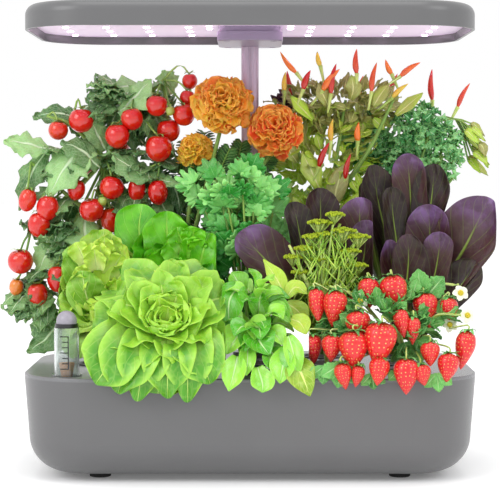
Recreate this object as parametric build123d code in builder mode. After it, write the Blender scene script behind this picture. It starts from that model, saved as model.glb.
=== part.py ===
"""Countertop hydroponic garden: a water tank with a grow deck, thirteen planted pods, a water
level gauge, a pump under the deck and a lamp hood on a telescoping mast.

Units are millimetres. +Z is up, +X is the user's right, -Y is the front. The origin is on the
surface that the garden stands on, below the middle of the tank.
"""

import os
from math import radians, tan

from build123d import *

os.makedirs("parts", exist_ok=True)

# ---------------------------------------------------------------- driving dimensions
# Tank and deck
deck_width, deck_depth, deck_corner = 377.0, 218.0, 56.0
foot_height = 4.5
tank_height = 79.5
tank_draft = 4.3  # degrees, the walls lean out towards the top
tank_bottom_fillet = 30.0
tank_wall = 2.6
rim_thickness = 3.0
deck_edge_fillet = 1.2
skirt_height, skirt_thickness, skirt_gap = 8.0, 2.0, 0.7

tank_bottom_z = foot_height
tank_top_z = tank_bottom_z + tank_height
deck_top_z = tank_top_z + rim_thickness

# Feet
foot_radius, foot_x, foot_y = 9.0, 125.0, 62.0

# Pods: a grid of five columns and three rows, less the gauge's corner and the mast's place
column_pitch, row_pitch = 65.0, 60.0
pod_hole_radius = 17.6
basket_top_radius, basket_bottom_radius, basket_depth = 17.2, 13.0, 41.0
basket_wall = 1.4
flange_radius, flange_thickness, flange_recess = 21.0, 1.8, 0.8
sponge_gap = 0.3
sponge_proud = 1.0
sponge_top_z = deck_top_z + sponge_proud

# Mast
mast_y = row_pitch
socket_width, socket_depth, socket_flange, socket_flange_height = 24.0, 18.0, 4.0, 5.0
socket_bottom_z = 60.0
lower_mast_width, lower_mast_depth, lower_mast_wall = 19.0, 13.4, 1.4
lower_mast_bottom_z, lower_mast_top_z = 64.0, 230.0
upper_mast_width, upper_mast_depth = 15.6, 10.0
upper_mast_bottom_z = 200.0
groove_width, groove_depth = 2.4, 1.4
bush_height = 10.0
lead_radius = 2.0

# Lamp hood
hood_width, hood_depth, hood_corner = 373.0, 216.0, 56.0
hood_rim_z, hood_height, hood_wall, hood_fillet = 371.0, 21.0, 2.5, 9.0
panel_recess, panel_thickness, panel_gap = 7.0, 2.0, 0.3
led_columns = (53.0, 89.0, 124.0, 159.0)
led_rows = (-84.0, -42.0, 0.0, 42.0, 84.0)
led_extra = ((35.0, -12.0), (35.0, 12.0))
led_radius = 2.6
board_thickness = 1.2

hood_top_z = hood_rim_z + hood_height
panel_z = hood_rim_z + panel_recess
board_z = panel_z + panel_thickness

# Bracket under the hood
bracket_width, bracket_depth, bracket_corner = 56.5, 93.0, 13.0
bracket_y = 27.0
bracket_bottom_z, bracket_step_z = 365.5, 373.6
plinth_inset = 1.5
mast_top_z = panel_z - 1.5

# Controls and power inlet
pad_width, pad_depth, pad_y = 84.0, 22.0, -70.0
button_radius, button_pitch, button_gap = 4.8, 24.0, 0.25
inlet_bore_radius, inlet_depth, inlet_radius = 2.75, 9.0, 4.6
inlet_x, inlet_y = 60.0, 82.0

# Gauge
gauge_x, gauge_y = -150.0, -86.0
gauge_radius, gauge_wall, gauge_top_z = 10.3, 1.3, 126.5
gauge_ring_height, dome_radius, dome_height = 3.3, 8.4, 10.6

# Pump
pump_width, pump_depth, pump_height, pump_bottom_z = 52.0, 38.0, 26.0, 12.0
rotor_radius, rotor_length, vane_radius, vane_length = 5.0, 16.0, 10.0, 7.0
running_gap = 0.4
hanger_x, hanger_radius = 16.2, 3.8


def pod_place(column, row):
    """Centre of the pod in a column (-2 to 2) and a row (-1 front, 0 middle, 1 rear)."""
    return (column * column_pitch, row * row_pitch)


rear_pods = [pod_place(column, 1) for column in (-2, -1, 1, 2)]
lifting_pods = {
    "butterhead": pod_place(-1, -1),
    "basil": pod_place(0, -1),
    "dill": pod_place(1, -1),
    "strawberry": pod_place(2, -1),
    "side_lettuce": pod_place(-2, 0),
    "green_lettuce": pod_place(-1, 0),
    "cilantro": pod_place(0, 0),
    "left_romaine": pod_place(1, 0),
    "right_romaine": pod_place(2, 0),
}
all_pods = rear_pods + list(lifting_pods.values())


def save(part, name):
    """Label one finished piece and write it to its own STEP file."""
    part.label = name
    export_step(part, f"parts/{name}.step")


# ---------------------------------------------------------------- tank and feet
draft_run = tank_height * tan(radians(tank_draft))

with BuildPart() as water_tank:
    with BuildSketch(Plane.XY.offset(tank_bottom_z)):
        RectangleRounded(
            deck_width - 2 * draft_run, deck_depth - 2 * draft_run, deck_corner - draft_run
        )
    extrude(amount=tank_height, taper=-tank_draft)
    fillet(water_tank.faces().sort_by(Axis.Z)[0].edges(), radius=tank_bottom_fillet)
    with BuildPart(mode=Mode.PRIVATE) as water_space:
        inset = draft_run + tank_wall
        with BuildSketch(Plane.XY.offset(tank_bottom_z + tank_wall)):
            RectangleRounded(deck_width - 2 * inset, deck_depth - 2 * inset, deck_corner - inset)
        extrude(amount=tank_height, taper=-tank_draft)
        fillet(
            water_space.faces().sort_by(Axis.Z)[0].edges(), radius=tank_bottom_fillet - tank_wall
        )
    add(water_space.part, mode=Mode.SUBTRACT)
save(water_tank.part, "water_tank")

with BuildPart() as rubber_feet:
    with GridLocations(2 * foot_x, 2 * foot_y, 2, 2):
        Cylinder(foot_radius, foot_height, align=(Align.CENTER, Align.CENTER, Align.MIN))
    fillet(rubber_feet.edges().group_by(Axis.Z)[0], radius=1.0)
save(rubber_feet.part, "rubber_feet")

# ---------------------------------------------------------------- grow deck
skirt_inset = tank_wall + skirt_gap + skirt_height * tan(radians(tank_draft))

with BuildPart() as grow_deck:
    with BuildSketch(Plane.XY.offset(tank_top_z)):
        RectangleRounded(deck_width, deck_depth, deck_corner)
    extrude(amount=rim_thickness)
    fillet(grow_deck.faces().sort_by(Axis.Z)[-1].edges(), radius=deck_edge_fillet)
    with BuildSketch(Plane.XY.offset(tank_top_z - skirt_height)):
        RectangleRounded(
            deck_width - 2 * skirt_inset, deck_depth - 2 * skirt_inset, deck_corner - skirt_inset
        )
        offset(amount=-skirt_thickness, mode=Mode.SUBTRACT)
    extrude(amount=skirt_height)
    with BuildSketch(Plane.XY.offset(deck_top_z)):
        with Locations(all_pods):
            Circle(flange_radius + 0.4)
    extrude(amount=-flange_recess, mode=Mode.SUBTRACT)
    with BuildSketch(Plane.XY.offset(deck_top_z)):
        with Locations(all_pods):
            Circle(pod_hole_radius)
        with Locations((gauge_x, gauge_y)):
            Circle(gauge_radius - gauge_wall)
        with Locations((0, mast_y)):
            RectangleRounded(socket_width, socket_depth, 4)
    extrude(amount=-2 * rim_thickness, mode=Mode.SUBTRACT)
save(grow_deck.part, "grow_deck")

# ---------------------------------------------------------------- pods
sponge_profile_gap = basket_wall + sponge_gap
basket_bottom_z = deck_top_z - flange_recess - basket_depth


def net_basket(place):
    """One net basket: a tapered cup with a flange, slots round its side and holes in its floor."""
    seat = deck_top_z - flange_recess
    with BuildPart() as basket:
        with BuildSketch(Plane.XZ.offset(-place[1])) as profile:
            with BuildLine():
                Polyline(
                    (place[0], basket_bottom_z),
                    (place[0] + basket_bottom_radius, basket_bottom_z),
                    (place[0] + basket_top_radius, seat),
                    (place[0] + flange_radius, seat),
                    (place[0] + flange_radius, seat + flange_thickness),
                    (place[0] + basket_top_radius - basket_wall, seat + flange_thickness),
                    (place[0] + basket_bottom_radius - basket_wall, basket_bottom_z + basket_wall),
                    (place[0], basket_bottom_z + basket_wall),
                    close=True,
                )
            make_face()
        revolve(axis=Axis((place[0], place[1], 0), (0, 0, 1)))
        with Locations((place[0], place[1], basket_bottom_z + basket_depth * 0.45)):
            with PolarLocations(basket_bottom_radius, 6):
                Box(9, 5, basket_depth * 0.55, mode=Mode.SUBTRACT)
        with Locations((place[0], place[1], basket_bottom_z)):
            with PolarLocations(basket_bottom_radius * 0.5, 4):
                Cylinder(2.2, 3 * basket_wall, mode=Mode.SUBTRACT)
    return basket.part


def seed_sponge(place):
    """One tapered foam plug that fills a basket and stands a little proud of it."""
    foot = basket_bottom_z + basket_wall + 6
    lean = (basket_top_radius - basket_bottom_radius) / basket_depth
    foot_radius_here = basket_bottom_radius - sponge_profile_gap + 6 * lean
    height = sponge_top_z - foot
    with BuildPart() as sponge:
        with Locations((place[0], place[1], foot)):
            Cone(
                foot_radius_here,
                foot_radius_here + (height - 2) * lean,
                height,
                align=(Align.CENTER, Align.CENTER, Align.MIN),
            )
        fillet(sponge.edges().group_by(Axis.Z)[-1], radius=1.5)
    return sponge.part


for pod_name, pod_centre in lifting_pods.items():
    save(net_basket(pod_centre), f"{pod_name}_basket")
    save(seed_sponge(pod_centre), f"{pod_name}_sponge")
save(Compound([net_basket(place) for place in rear_pods]), "rear_baskets")
save(Compound([seed_sponge(place) for place in rear_pods]), "rear_sponges")

# ---------------------------------------------------------------- mast
with BuildPart() as mast_socket:
    with BuildSketch(Plane.XY.offset(socket_bottom_z)):
        with Locations((0, mast_y)):
            RectangleRounded(socket_width - 0.4, socket_depth - 0.4, 3.8)
    extrude(amount=deck_top_z - socket_bottom_z)
    with BuildSketch(Plane.XY.offset(deck_top_z)):
        with Locations((0, mast_y)):
            RectangleRounded(
                socket_width + 2 * socket_flange, socket_depth + 2 * socket_flange, 7
            )
    extrude(amount=socket_flange_height, taper=8)
    with BuildSketch(Plane.XY.offset(lower_mast_bottom_z)):
        with Locations((0, mast_y)):
            SlotOverall(lower_mast_width + 0.2, lower_mast_depth + 0.2)
    extrude(amount=60, mode=Mode.SUBTRACT)
    with Locations((0, mast_y, socket_bottom_z)):
        Cylinder(lead_radius + 0.6, 20, mode=Mode.SUBTRACT)
save(mast_socket.part, "mast_socket")

with BuildPart() as lower_mast:
    with BuildSketch(Plane.XY.offset(lower_mast_bottom_z)):
        with Locations((0, mast_y)):
            SlotOverall(lower_mast_width, lower_mast_depth)
            SlotOverall(
                lower_mast_width - 2 * lower_mast_wall,
                lower_mast_depth - 2 * lower_mast_wall,
                mode=Mode.SUBTRACT,
            )
    extrude(amount=lower_mast_top_z - lower_mast_bottom_z)
save(lower_mast.part, "lower_mast")

with BuildPart() as mast_bush:
    with BuildSketch(Plane.XY.offset(lower_mast_top_z - bush_height + 3)):
        with Locations((0, mast_y)):
            SlotOverall(lower_mast_width + 2.4, lower_mast_depth + 2.4)
    extrude(amount=bush_height)
    fillet(mast_bush.edges().group_by(Axis.Z)[-1], radius=0.8)
    with BuildSketch(Plane.XY.offset(lower_mast_top_z)):
        with Locations((0, mast_y)):
            SlotOverall(lower_mast_width, lower_mast_depth)
    extrude(amount=-bush_height, mode=Mode.SUBTRACT)
    with BuildSketch(Plane.XY.offset(lower_mast_top_z - bush_height)):
        with Locations((0, mast_y)):
            SlotOverall(upper_mast_width + 0.2, upper_mast_depth + 0.2)
    extrude(amount=3 * bush_height, mode=Mode.SUBTRACT)
save(mast_bush.part, "mast_bush")

with BuildPart() as upper_mast:
    with BuildSketch(Plane.XY.offset(upper_mast_bottom_z)):
        with Locations((0, mast_y)):
            SlotOverall(upper_mast_width, upper_mast_depth)
            SlotOverall(upper_mast_width - 3.6, upper_mast_depth - 5.2, mode=Mode.SUBTRACT)
        with Locations(
            (0, mast_y - upper_mast_depth / 2), (0, mast_y + upper_mast_depth / 2)
        ):
            Rectangle(groove_width, 2 * groove_depth, mode=Mode.SUBTRACT)
    extrude(amount=mast_top_z - upper_mast_bottom_z)
save(upper_mast.part, "upper_mast")


# ---------------------------------------------------------------- bracket
mast_slot = (upper_mast_width + 0.1, upper_mast_depth + 0.1)
screw_x, screw_y = 20.0, 38.0
screw_radius, screw_head_radius = 1.5, 2.9
screw_places = [(sx * screw_x, bracket_y + sy * screw_y) for sx in (-1, 1) for sy in (-1, 1)]

with BuildPart() as bracket_cover:
    with BuildSketch(Plane.XY.offset(bracket_bottom_z)):
        with Locations((0, bracket_y)):
            RectangleRounded(bracket_width, bracket_depth, bracket_corner)
    extrude(amount=bracket_step_z - bracket_bottom_z)
    fillet(bracket_cover.edges().group_by(Axis.Z)[0], radius=1.4)
    with BuildSketch(Plane.XY.offset(bracket_bottom_z)):
        with Locations((0, mast_y)):
            SlotOverall(*mast_slot)
        with Locations(screw_places):
            Circle(screw_radius + 0.1)
    extrude(amount=2 * bracket_depth, mode=Mode.SUBTRACT)
    with BuildSketch(Plane.XY.offset(bracket_bottom_z)):
        with Locations(screw_places):
            Circle(screw_head_radius + 0.2)
    extrude(amount=2.4, mode=Mode.SUBTRACT)
save(bracket_cover.part, "bracket_cover")

with BuildPart() as bracket_plinth:
    with BuildSketch(Plane.XY.offset(bracket_step_z)):
        with Locations((0, bracket_y)):
            RectangleRounded(
                bracket_width - 2 * plinth_inset,
                bracket_depth - 2 * plinth_inset,
                bracket_corner - plinth_inset,
            )
        with Locations((0, mast_y)):
            SlotOverall(*mast_slot, mode=Mode.SUBTRACT)
        with Locations(screw_places):
            Circle(screw_radius + 0.1, mode=Mode.SUBTRACT)
    extrude(amount=panel_z - bracket_step_z)
save(bracket_plinth.part, "bracket_plinth")

with BuildPart() as bracket_screws:
    with Locations([(x, y, bracket_bottom_z + 0.4) for x, y in screw_places]):
        Cylinder(screw_head_radius, 2.0, align=(Align.CENTER, Align.CENTER, Align.MIN))
    with Locations([(x, y, bracket_bottom_z + 2.4) for x, y in screw_places]):
        Cylinder(
            screw_radius,
            board_z - bracket_bottom_z - 2.4,
            align=(Align.CENTER, Align.CENTER, Align.MIN),
        )
    with Locations([(x, y, bracket_bottom_z + 0.4) for x, y in screw_places]):
        Box(3.6, 0.8, 1.6, mode=Mode.SUBTRACT)
        Box(0.8, 3.6, 1.6, mode=Mode.SUBTRACT)
save(bracket_screws.part, "bracket_screws")

# ---------------------------------------------------------------- lamp hood
led_places = [(sx * x, y) for x in led_columns for y in led_rows for sx in (-1, 1)]
led_places += [(sx * x, y) for x, y in led_extra for sx in (-1, 1)]
button_places = [(step * button_pitch, pad_y) for step in (-1, 0, 1)]
button_names = ("power_button", "light_button", "pump_button")

with BuildPart() as lamp_shell:
    with BuildSketch(Plane.XY.offset(hood_rim_z)):
        RectangleRounded(hood_width, hood_depth, hood_corner)
    extrude(amount=hood_height)
    fillet(lamp_shell.faces().sort_by(Axis.Z)[-1].edges(), radius=hood_fillet)
    with BuildPart(mode=Mode.PRIVATE) as hood_space:
        with BuildSketch(Plane.XY.offset(hood_rim_z)):
            RectangleRounded(
                hood_width - 2 * hood_wall, hood_depth - 2 * hood_wall, hood_corner - hood_wall
            )
        extrude(amount=hood_height - hood_wall)
        fillet(
            hood_space.faces().sort_by(Axis.Z)[-1].edges(), radius=hood_fillet - hood_wall
        )
    add(hood_space.part, mode=Mode.SUBTRACT)
    with BuildSketch(Plane.XY.offset(hood_top_z)):
        with Locations((0, pad_y)):
            RectangleRounded(pad_width + 0.4, pad_depth + 0.4, 6.2)
    extrude(amount=-0.8, mode=Mode.SUBTRACT)
    with BuildSketch(Plane.XY.offset(hood_top_z)):
        with Locations(button_places):
            Circle(button_radius + button_gap)
    extrude(amount=-2 * hood_wall, mode=Mode.SUBTRACT)
    with Locations((inlet_x, inlet_y, hood_top_z)):
        Cylinder(inlet_radius + 0.05, 4 * hood_wall, mode=Mode.SUBTRACT)
    # The shell is a cover on a rim, parted level with the board
    split(bisect_by=Plane.XY.offset(board_z), keep=Keep.BOTH)
save(lamp_shell.part, "lamp_shell")

panel_inset = hood_wall + panel_gap
with BuildPart() as lamp_panel:
    with BuildSketch(Plane.XY.offset(panel_z)):
        RectangleRounded(
            hood_width - 2 * panel_inset, hood_depth - 2 * panel_inset, hood_corner - panel_inset
        )
        with Locations(led_places):
            Circle(led_radius + 0.3, mode=Mode.SUBTRACT)
        with Locations(screw_places):
            Circle(screw_radius + 0.05, mode=Mode.SUBTRACT)
        with Locations((0, mast_y)):
            Circle(lead_radius + 0.6, mode=Mode.SUBTRACT)
    extrude(amount=panel_thickness)
save(lamp_panel.part, "lamp_panel")

with BuildPart() as led_board:
    with BuildSketch(Plane.XY.offset(board_z)):
        RectangleRounded(hood_width - 24, hood_depth - 24, hood_corner - 12)
        with Locations((0, mast_y)):
            Circle(lead_radius + 2, mode=Mode.SUBTRACT)
    extrude(amount=board_thickness)

with BuildPart() as led_chips:
    with Locations([(x, y, board_z) for x, y in led_places]):
        Cylinder(
            led_radius, panel_thickness + 0.8, align=(Align.CENTER, Align.CENTER, Align.MAX)
        )
    fillet(led_chips.edges().group_by(Axis.Z)[0], radius=0.7)
save(led_chips.part, "led_chips")

with BuildPart() as control_board:
    with Locations((0, pad_y, board_z + board_thickness)):
        Box(80, 24, board_thickness, align=(Align.CENTER, Align.CENTER, Align.MIN))
    with Locations([(x, y, board_z + 2 * board_thickness) for x, y in button_places]):
        Box(6, 6, 2.0, align=(Align.CENTER, Align.CENTER, Align.MIN))
save(Compound([led_board.part, control_board.part]), "circuit_boards")

with BuildPart() as control_pad:
    with BuildSketch(Plane.XY.offset(hood_top_z - 0.8)):
        with Locations((0, pad_y)):
            RectangleRounded(pad_width, pad_depth, 6)
        with Locations(button_places):
            Circle(button_radius + button_gap, mode=Mode.SUBTRACT)
    extrude(amount=1.2)
save(control_pad.part, "control_pad")

button_bottom_z = board_z + 2 * board_thickness + 2.0 + 1.4
for button_name, place in zip(button_names, button_places):
    with BuildPart() as button:
        with Locations((*place, button_bottom_z)):
            Cylinder(
                button_radius,
                hood_top_z + 1.6 - button_bottom_z,
                align=(Align.CENTER, Align.CENTER, Align.MIN),
            )
        fillet(button.edges().group_by(Axis.Z)[-1], radius=0.8)
        with Locations((*place, button_bottom_z)):
            Cylinder(
                button_radius + 1.2, 1.0, align=(Align.CENTER, Align.CENTER, Align.MIN)
            )
    save(button.part, button_name)

with BuildPart() as power_inlet:
    with Locations((inlet_x, inlet_y, board_z + board_thickness)):
        Cylinder(
            inlet_radius,
            hood_top_z - board_z - board_thickness,
            align=(Align.CENTER, Align.CENTER, Align.MIN),
        )
    with Locations((inlet_x, inlet_y, hood_top_z)):
        Cylinder(inlet_radius + 1.2, 1.0, align=(Align.CENTER, Align.CENTER, Align.MIN))
    with Locations((inlet_x, inlet_y, hood_top_z + 1.0)):
        Cylinder(
            inlet_bore_radius,
            inlet_depth,
            align=(Align.CENTER, Align.CENTER, Align.MAX),
            mode=Mode.SUBTRACT,
        )
save(power_inlet.part, "power_inlet")

# ---------------------------------------------------------------- level gauge
with BuildPart() as gauge_tube:
    with Locations((gauge_x, gauge_y, deck_top_z)):
        Cylinder(gauge_radius, gauge_top_z - deck_top_z, align=(Align.CENTER, Align.CENTER, Align.MIN))
        Cylinder(gauge_radius + 2, 1.5, align=(Align.CENTER, Align.CENTER, Align.MIN))
        Cylinder(gauge_radius - gauge_wall, 200, mode=Mode.SUBTRACT)
save(gauge_tube.part, "gauge_tube")

with BuildPart() as gauge_ring:
    with Locations((gauge_x, gauge_y, gauge_top_z)):
        Cylinder(
            gauge_radius - 0.8, gauge_ring_height, align=(Align.CENTER, Align.CENTER, Align.MIN)
        )
    fillet(gauge_ring.edges().group_by(Axis.Z)[0], radius=0.5)
save(gauge_ring.part, "gauge_ring")

dome_base_z = gauge_top_z + gauge_ring_height
with BuildPart() as gauge_cap:
    with BuildSketch(Plane.XZ.offset(-gauge_y)):
        with BuildLine():
            Line((gauge_x, dome_base_z), (gauge_x + dome_radius, dome_base_z))
            Line(
                (gauge_x + dome_radius, dome_base_z),
                (gauge_x + dome_radius, dome_base_z + dome_height - dome_radius),
            )
            JernArc(
                (gauge_x + dome_radius, dome_base_z + dome_height - dome_radius),
                (0, 1),
                dome_radius,
                90,
            )
            Line((gauge_x, dome_base_z + dome_height), (gauge_x, dome_base_z))
        make_face()
    revolve(axis=Axis((gauge_x, gauge_y, 0), (0, 0, 1)))
save(gauge_cap.part, "gauge_cap")

float_stem_radius, float_bulb_radius, float_marker_radius = 1.6, 4.2, 6.4
float_bottom_z, float_bulb_height = 38.0, 26.0
marker_bottom_z, marker_height = 86.5, 11.0
with BuildPart() as level_float:
    with Locations((gauge_x, gauge_y, float_bottom_z)):
        Cylinder(
            float_bulb_radius, float_bulb_height, align=(Align.CENTER, Align.CENTER, Align.MIN)
        )
    fillet(level_float.edges().filter_by(GeomType.CIRCLE), radius=1.8)
    with Locations((gauge_x, gauge_y, float_bottom_z + float_bulb_height / 2)):
        Cylinder(
            float_stem_radius,
            marker_bottom_z + 2 - float_bottom_z - float_bulb_height / 2,
            align=(Align.CENTER, Align.CENTER, Align.MIN),
        )
    with Locations((gauge_x, gauge_y, marker_bottom_z)):
        Cone(
            float_marker_radius * 0.7,
            float_marker_radius,
            marker_height,
            align=(Align.CENTER, Align.CENTER, Align.MIN),
        )
save(level_float.part, "level_float")

# ---------------------------------------------------------------- pump
pump_top_z = pump_bottom_z + pump_height
rotor_z = pump_bottom_z + pump_height / 2
pump_front_y = mast_y - pump_depth / 2
chamber_depth = vane_length + 2 * running_gap

with BuildPart() as pump_body:
    with Locations((0, mast_y, pump_bottom_z)):
        Box(pump_width, pump_depth, pump_height, align=(Align.CENTER, Align.CENTER, Align.MIN))
    fillet(pump_body.edges().filter_by(Axis.Y), radius=6)
    with BuildSketch(Plane.XZ.offset(-pump_front_y)):
        with Locations((0, rotor_z)):
            Circle(vane_radius + running_gap)
    extrude(amount=-chamber_depth, mode=Mode.SUBTRACT)
    with BuildSketch(Plane.XZ.offset(-pump_front_y)):
        with Locations((0, rotor_z)):
            Circle(rotor_radius + running_gap)
    extrude(amount=-(chamber_depth + rotor_length + running_gap), mode=Mode.SUBTRACT)
    with Locations((-14, mast_y - 6, pump_top_z)):
        Cylinder(4.5, 10, align=(Align.CENTER, Align.CENTER, Align.MIN))
        Cylinder(2.8, 26, mode=Mode.SUBTRACT)
    with Locations(
        (hanger_x, mast_y + 6, pump_top_z), (-hanger_x, mast_y + 6, pump_top_z)
    ):
        Cylinder(
            hanger_radius, tank_top_z - pump_top_z, align=(Align.CENTER, Align.CENTER, Align.MIN)
        )
save(pump_body.part, "pump_body")

with BuildPart() as pump_impeller:
    with BuildSketch(Plane.XZ.offset(-(pump_front_y + running_gap))):
        with Locations((0, rotor_z)):
            Circle(rotor_radius)
    extrude(amount=-(vane_length + running_gap + rotor_length - running_gap))
    with BuildSketch(Plane.XZ.offset(-(pump_front_y + running_gap))):
        with Locations((0, rotor_z)):
            with PolarLocations(vane_radius / 2, 6):
                Rectangle(vane_radius - 0.4, 1.4)
    extrude(amount=-vane_length)
save(pump_impeller.part, "pump_impeller")

with BuildPart() as pump_strainer:
    with BuildSketch(Plane.XZ.offset(-pump_front_y)):
        with Locations((0, rotor_z)):
            RectangleRounded(pump_width - 4, pump_height - 2, 5)
            with GridLocations(5, 0, 6, 1):
                SlotOverall(14, 2.4, rotation=90, mode=Mode.SUBTRACT)
    extrude(amount=3)
save(pump_strainer.part, "pump_strainer")

lead_offset = 8.0
lead_route = [
    (0, mast_y + lead_offset, pump_top_z),
    (0, mast_y + lead_offset, pump_top_z + 5),
    (0, mast_y, pump_top_z + 10),
    (0, mast_y, board_z),
]
with BuildPart() as pump_lead:
    with BuildLine():
        FilletPolyline(*lead_route, radius=4)
    with BuildSketch(Plane(origin=lead_route[0], z_dir=(0, 0, 1))):
        Circle(lead_radius)
    sweep()
save(pump_lead.part, "pump_lead")

# ---------------------------------------------------------------- plants
# Each plant is one plain soft solid: a stem on its sponge and one or more rounded lumps of
# foliage. A lump is given by its limits along X, Y and Z. Rows keep to their own band of Y.
# The rear row reaches up to the lamp, and the front row hangs over the rim of the deck.
rim_front_y = -deck_depth / 2 - 0.6
plant_lumps = {
    "butterhead": [
        ((-136, -22), (-112, -31), (100, 178)),
        ((-130, -30), (-125, rim_front_y), (66, 120)),
    ],
    "basil": [
        ((-20, 33), (-113, -46), (105, 182)),
        ((-16, 49), (-123, rim_front_y), (76, 118)),
    ],
    "dill": [((34, 94), (-62, -31), (145, 218))],
    "strawberry": [
        ((51, 178), (-127, -66), (104, 176)),
        ((110, 150), (-72, -42), (108, 160)),
        ((56, 165), (-130, rim_front_y), (77, 112)),
    ],
    "side_lettuce": [((-160, -100), (-28, 28), (106, 206))],
    "green_lettuce": [((-98, -34), (-28, 28), (108, 226))],
    "cilantro": [
        ((-32, 30), (-27, 28), (122, 262)),
        ((-57, 34), (-25, 26), (229, 267)),
    ],
    "left_romaine": [
        ((32, 96), (-28, 28), (106, 226)),
        ((36, 94), (-22, 24), (190, 240)),
    ],
    "right_romaine": [
        ((98, 166), (-27, 28), (106, 200)),
        ((99, 206), (-28, 27), (150, 269)),
    ],
    "tomato": [
        ((-208, -74), (33, 88), (160, 305)),
        ((-160, -56), (50, 86), (285, 347)),
        ((-221, -148), (32, 62), (92, 215)),
    ],
    "marigold": [((-70, -13), (46, 92), (120, 282))],
    "chilli": [
        ((13, 122), (45, 98), (130, 330)),
        ((15, 222), (52, 100), (317, 345)),
    ],
    "parsley": [((125, 194), (44, 102), (236, 313))],
}
stem_radii = {"butterhead": 10, "side_lettuce": 10, "green_lettuce": 10}
stem_radii |= {"left_romaine": 12, "right_romaine": 12, "tomato": 4}
default_stem_radius = 3.0

flower_heads = [((-25, 25, 313), 26), ((22, 25, 290), 24), ((-49, 39, 272), 17)]
chilli_tips = [(28, 74), (60, 66), (95, 80), (118, 70), (163, 76), (196, 82)]
chilli_length, chilli_radius = 24.0, 4.5

pods = dict(zip(("tomato", "marigold", "chilli", "parsley"), rear_pods)) | lifting_pods
for plant_name, lumps in plant_lumps.items():
    pod_x, pod_y = pods[plant_name]
    with BuildPart() as plant:
        for x_limits, y_limits, z_limits in lumps:
            lump_size = [high - low for low, high in (x_limits, y_limits, z_limits)]
            lump_centre = [(low + high) / 2 for low, high in (x_limits, y_limits, z_limits)]
            with BuildPart(mode=Mode.PRIVATE) as lump:
                with Locations(Vector(*lump_centre)):
                    Box(*lump_size)
                fillet(lump.edges(), radius=0.3 * min(lump_size))
            add(lump.part)
        with Locations((pod_x, pod_y, sponge_top_z)):
            Cylinder(
                stem_radii.get(plant_name, default_stem_radius),
                (lumps[0][2][0] + lumps[0][2][1]) / 2 - sponge_top_z,
                align=(Align.CENTER, Align.CENTER, Align.MIN),
            )
        if plant_name == "marigold":
            for centre, radius in flower_heads:
                stalk_foot = Vector(-30, 62, 230)
                with BuildPart(mode=Mode.PRIVATE) as head:
                    with BuildSketch(Plane(origin=centre, z_dir=(0, -1, 0.3))):
                        Circle(radius)
                    extrude(amount=radius * 0.36, both=True)
                    fillet(head.edges(), radius=radius * 0.3)
                    with BuildSketch(Plane(origin=stalk_foot, z_dir=Vector(*centre) - stalk_foot)):
                        Circle(2)
                    extrude(amount=(Vector(*centre) - stalk_foot).length)
                add(head.part)
        if plant_name == "chilli":
            with Locations([(x, y, lumps[1][2][1] - 4) for x, y in chilli_tips]):
                Cone(
                    chilli_radius, 0.8, chilli_length, align=(Align.CENTER, Align.CENTER, Align.MIN)
                )
    save(plant.part, plant_name)
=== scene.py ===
import math
import random

import bpy
import numpy as np
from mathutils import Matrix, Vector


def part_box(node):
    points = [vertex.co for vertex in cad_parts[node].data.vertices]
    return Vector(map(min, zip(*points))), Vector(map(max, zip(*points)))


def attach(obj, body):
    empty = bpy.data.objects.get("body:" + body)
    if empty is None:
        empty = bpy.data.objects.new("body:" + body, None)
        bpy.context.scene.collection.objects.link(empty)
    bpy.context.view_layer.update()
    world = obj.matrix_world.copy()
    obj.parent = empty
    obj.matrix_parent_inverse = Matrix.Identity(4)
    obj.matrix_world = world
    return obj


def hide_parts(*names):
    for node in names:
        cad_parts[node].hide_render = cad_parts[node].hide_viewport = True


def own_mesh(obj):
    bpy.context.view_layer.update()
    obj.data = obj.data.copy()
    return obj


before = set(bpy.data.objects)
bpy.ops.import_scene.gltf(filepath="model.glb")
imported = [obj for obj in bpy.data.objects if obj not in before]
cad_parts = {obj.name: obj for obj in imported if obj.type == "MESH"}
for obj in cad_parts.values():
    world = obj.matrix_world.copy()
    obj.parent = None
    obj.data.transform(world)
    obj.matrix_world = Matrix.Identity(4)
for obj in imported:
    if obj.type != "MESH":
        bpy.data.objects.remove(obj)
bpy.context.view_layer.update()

bl_info = {
    "name": "Countertop Hydroponic Garden",
    "version": (1, 0, 0),
    "blender": (4, 5, 0),
    "location": "View3D > Sidebar > Garden",
    "description": "Dresses the garden's housing and grows its thirteen plants",
    "category": "Object",
}

MM = 0.001
TURN = 2 * math.pi
GOLDEN_ANGLE = math.pi * (3 - math.sqrt(5))
TOWARD_FRONT = (0.0, -0.72, 0.7)      # where the upper side of a leaf looks, unless told
DECK_TOP = 89.0                       # leaves lie on the deck above this height, mm
RIM_FRONT = -113.0                    # leaves that hang over the front stay before this, mm
OVER_RIM = -0.1                       # what stands before this may hang over the rim, metres
RIM_BEND = 0.012                      # height above the deck where it starts to bend, metres
CURVE_STEP = 0.03                     # half the stretch that gives a curve its direction
SENSOR_MM = 36.0
FOCAL_PIXELS, PICTURE_PIXELS = 1709, 500


def hue(code):
    """Turns an sRGB hex code into the linear colour that shaders take."""
    parts = [int(code[i:i + 2], 16) / 255 for i in (0, 2, 4)]
    return tuple(c / 12.92 if c <= 0.04045 else ((c + 0.055) / 1.055) ** 2.4 for c in parts)


def colour(name, description, code):
    return bpy.props.FloatVectorProperty(
        name=name, description=description, subtype="COLOR", size=3, min=0, max=1,
        default=hue(code))


def size(name, description, mm):
    return bpy.props.FloatProperty(
        name=name, description=description, default=mm * MM, min=0, unit="LENGTH",
        subtype="DISTANCE")


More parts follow.
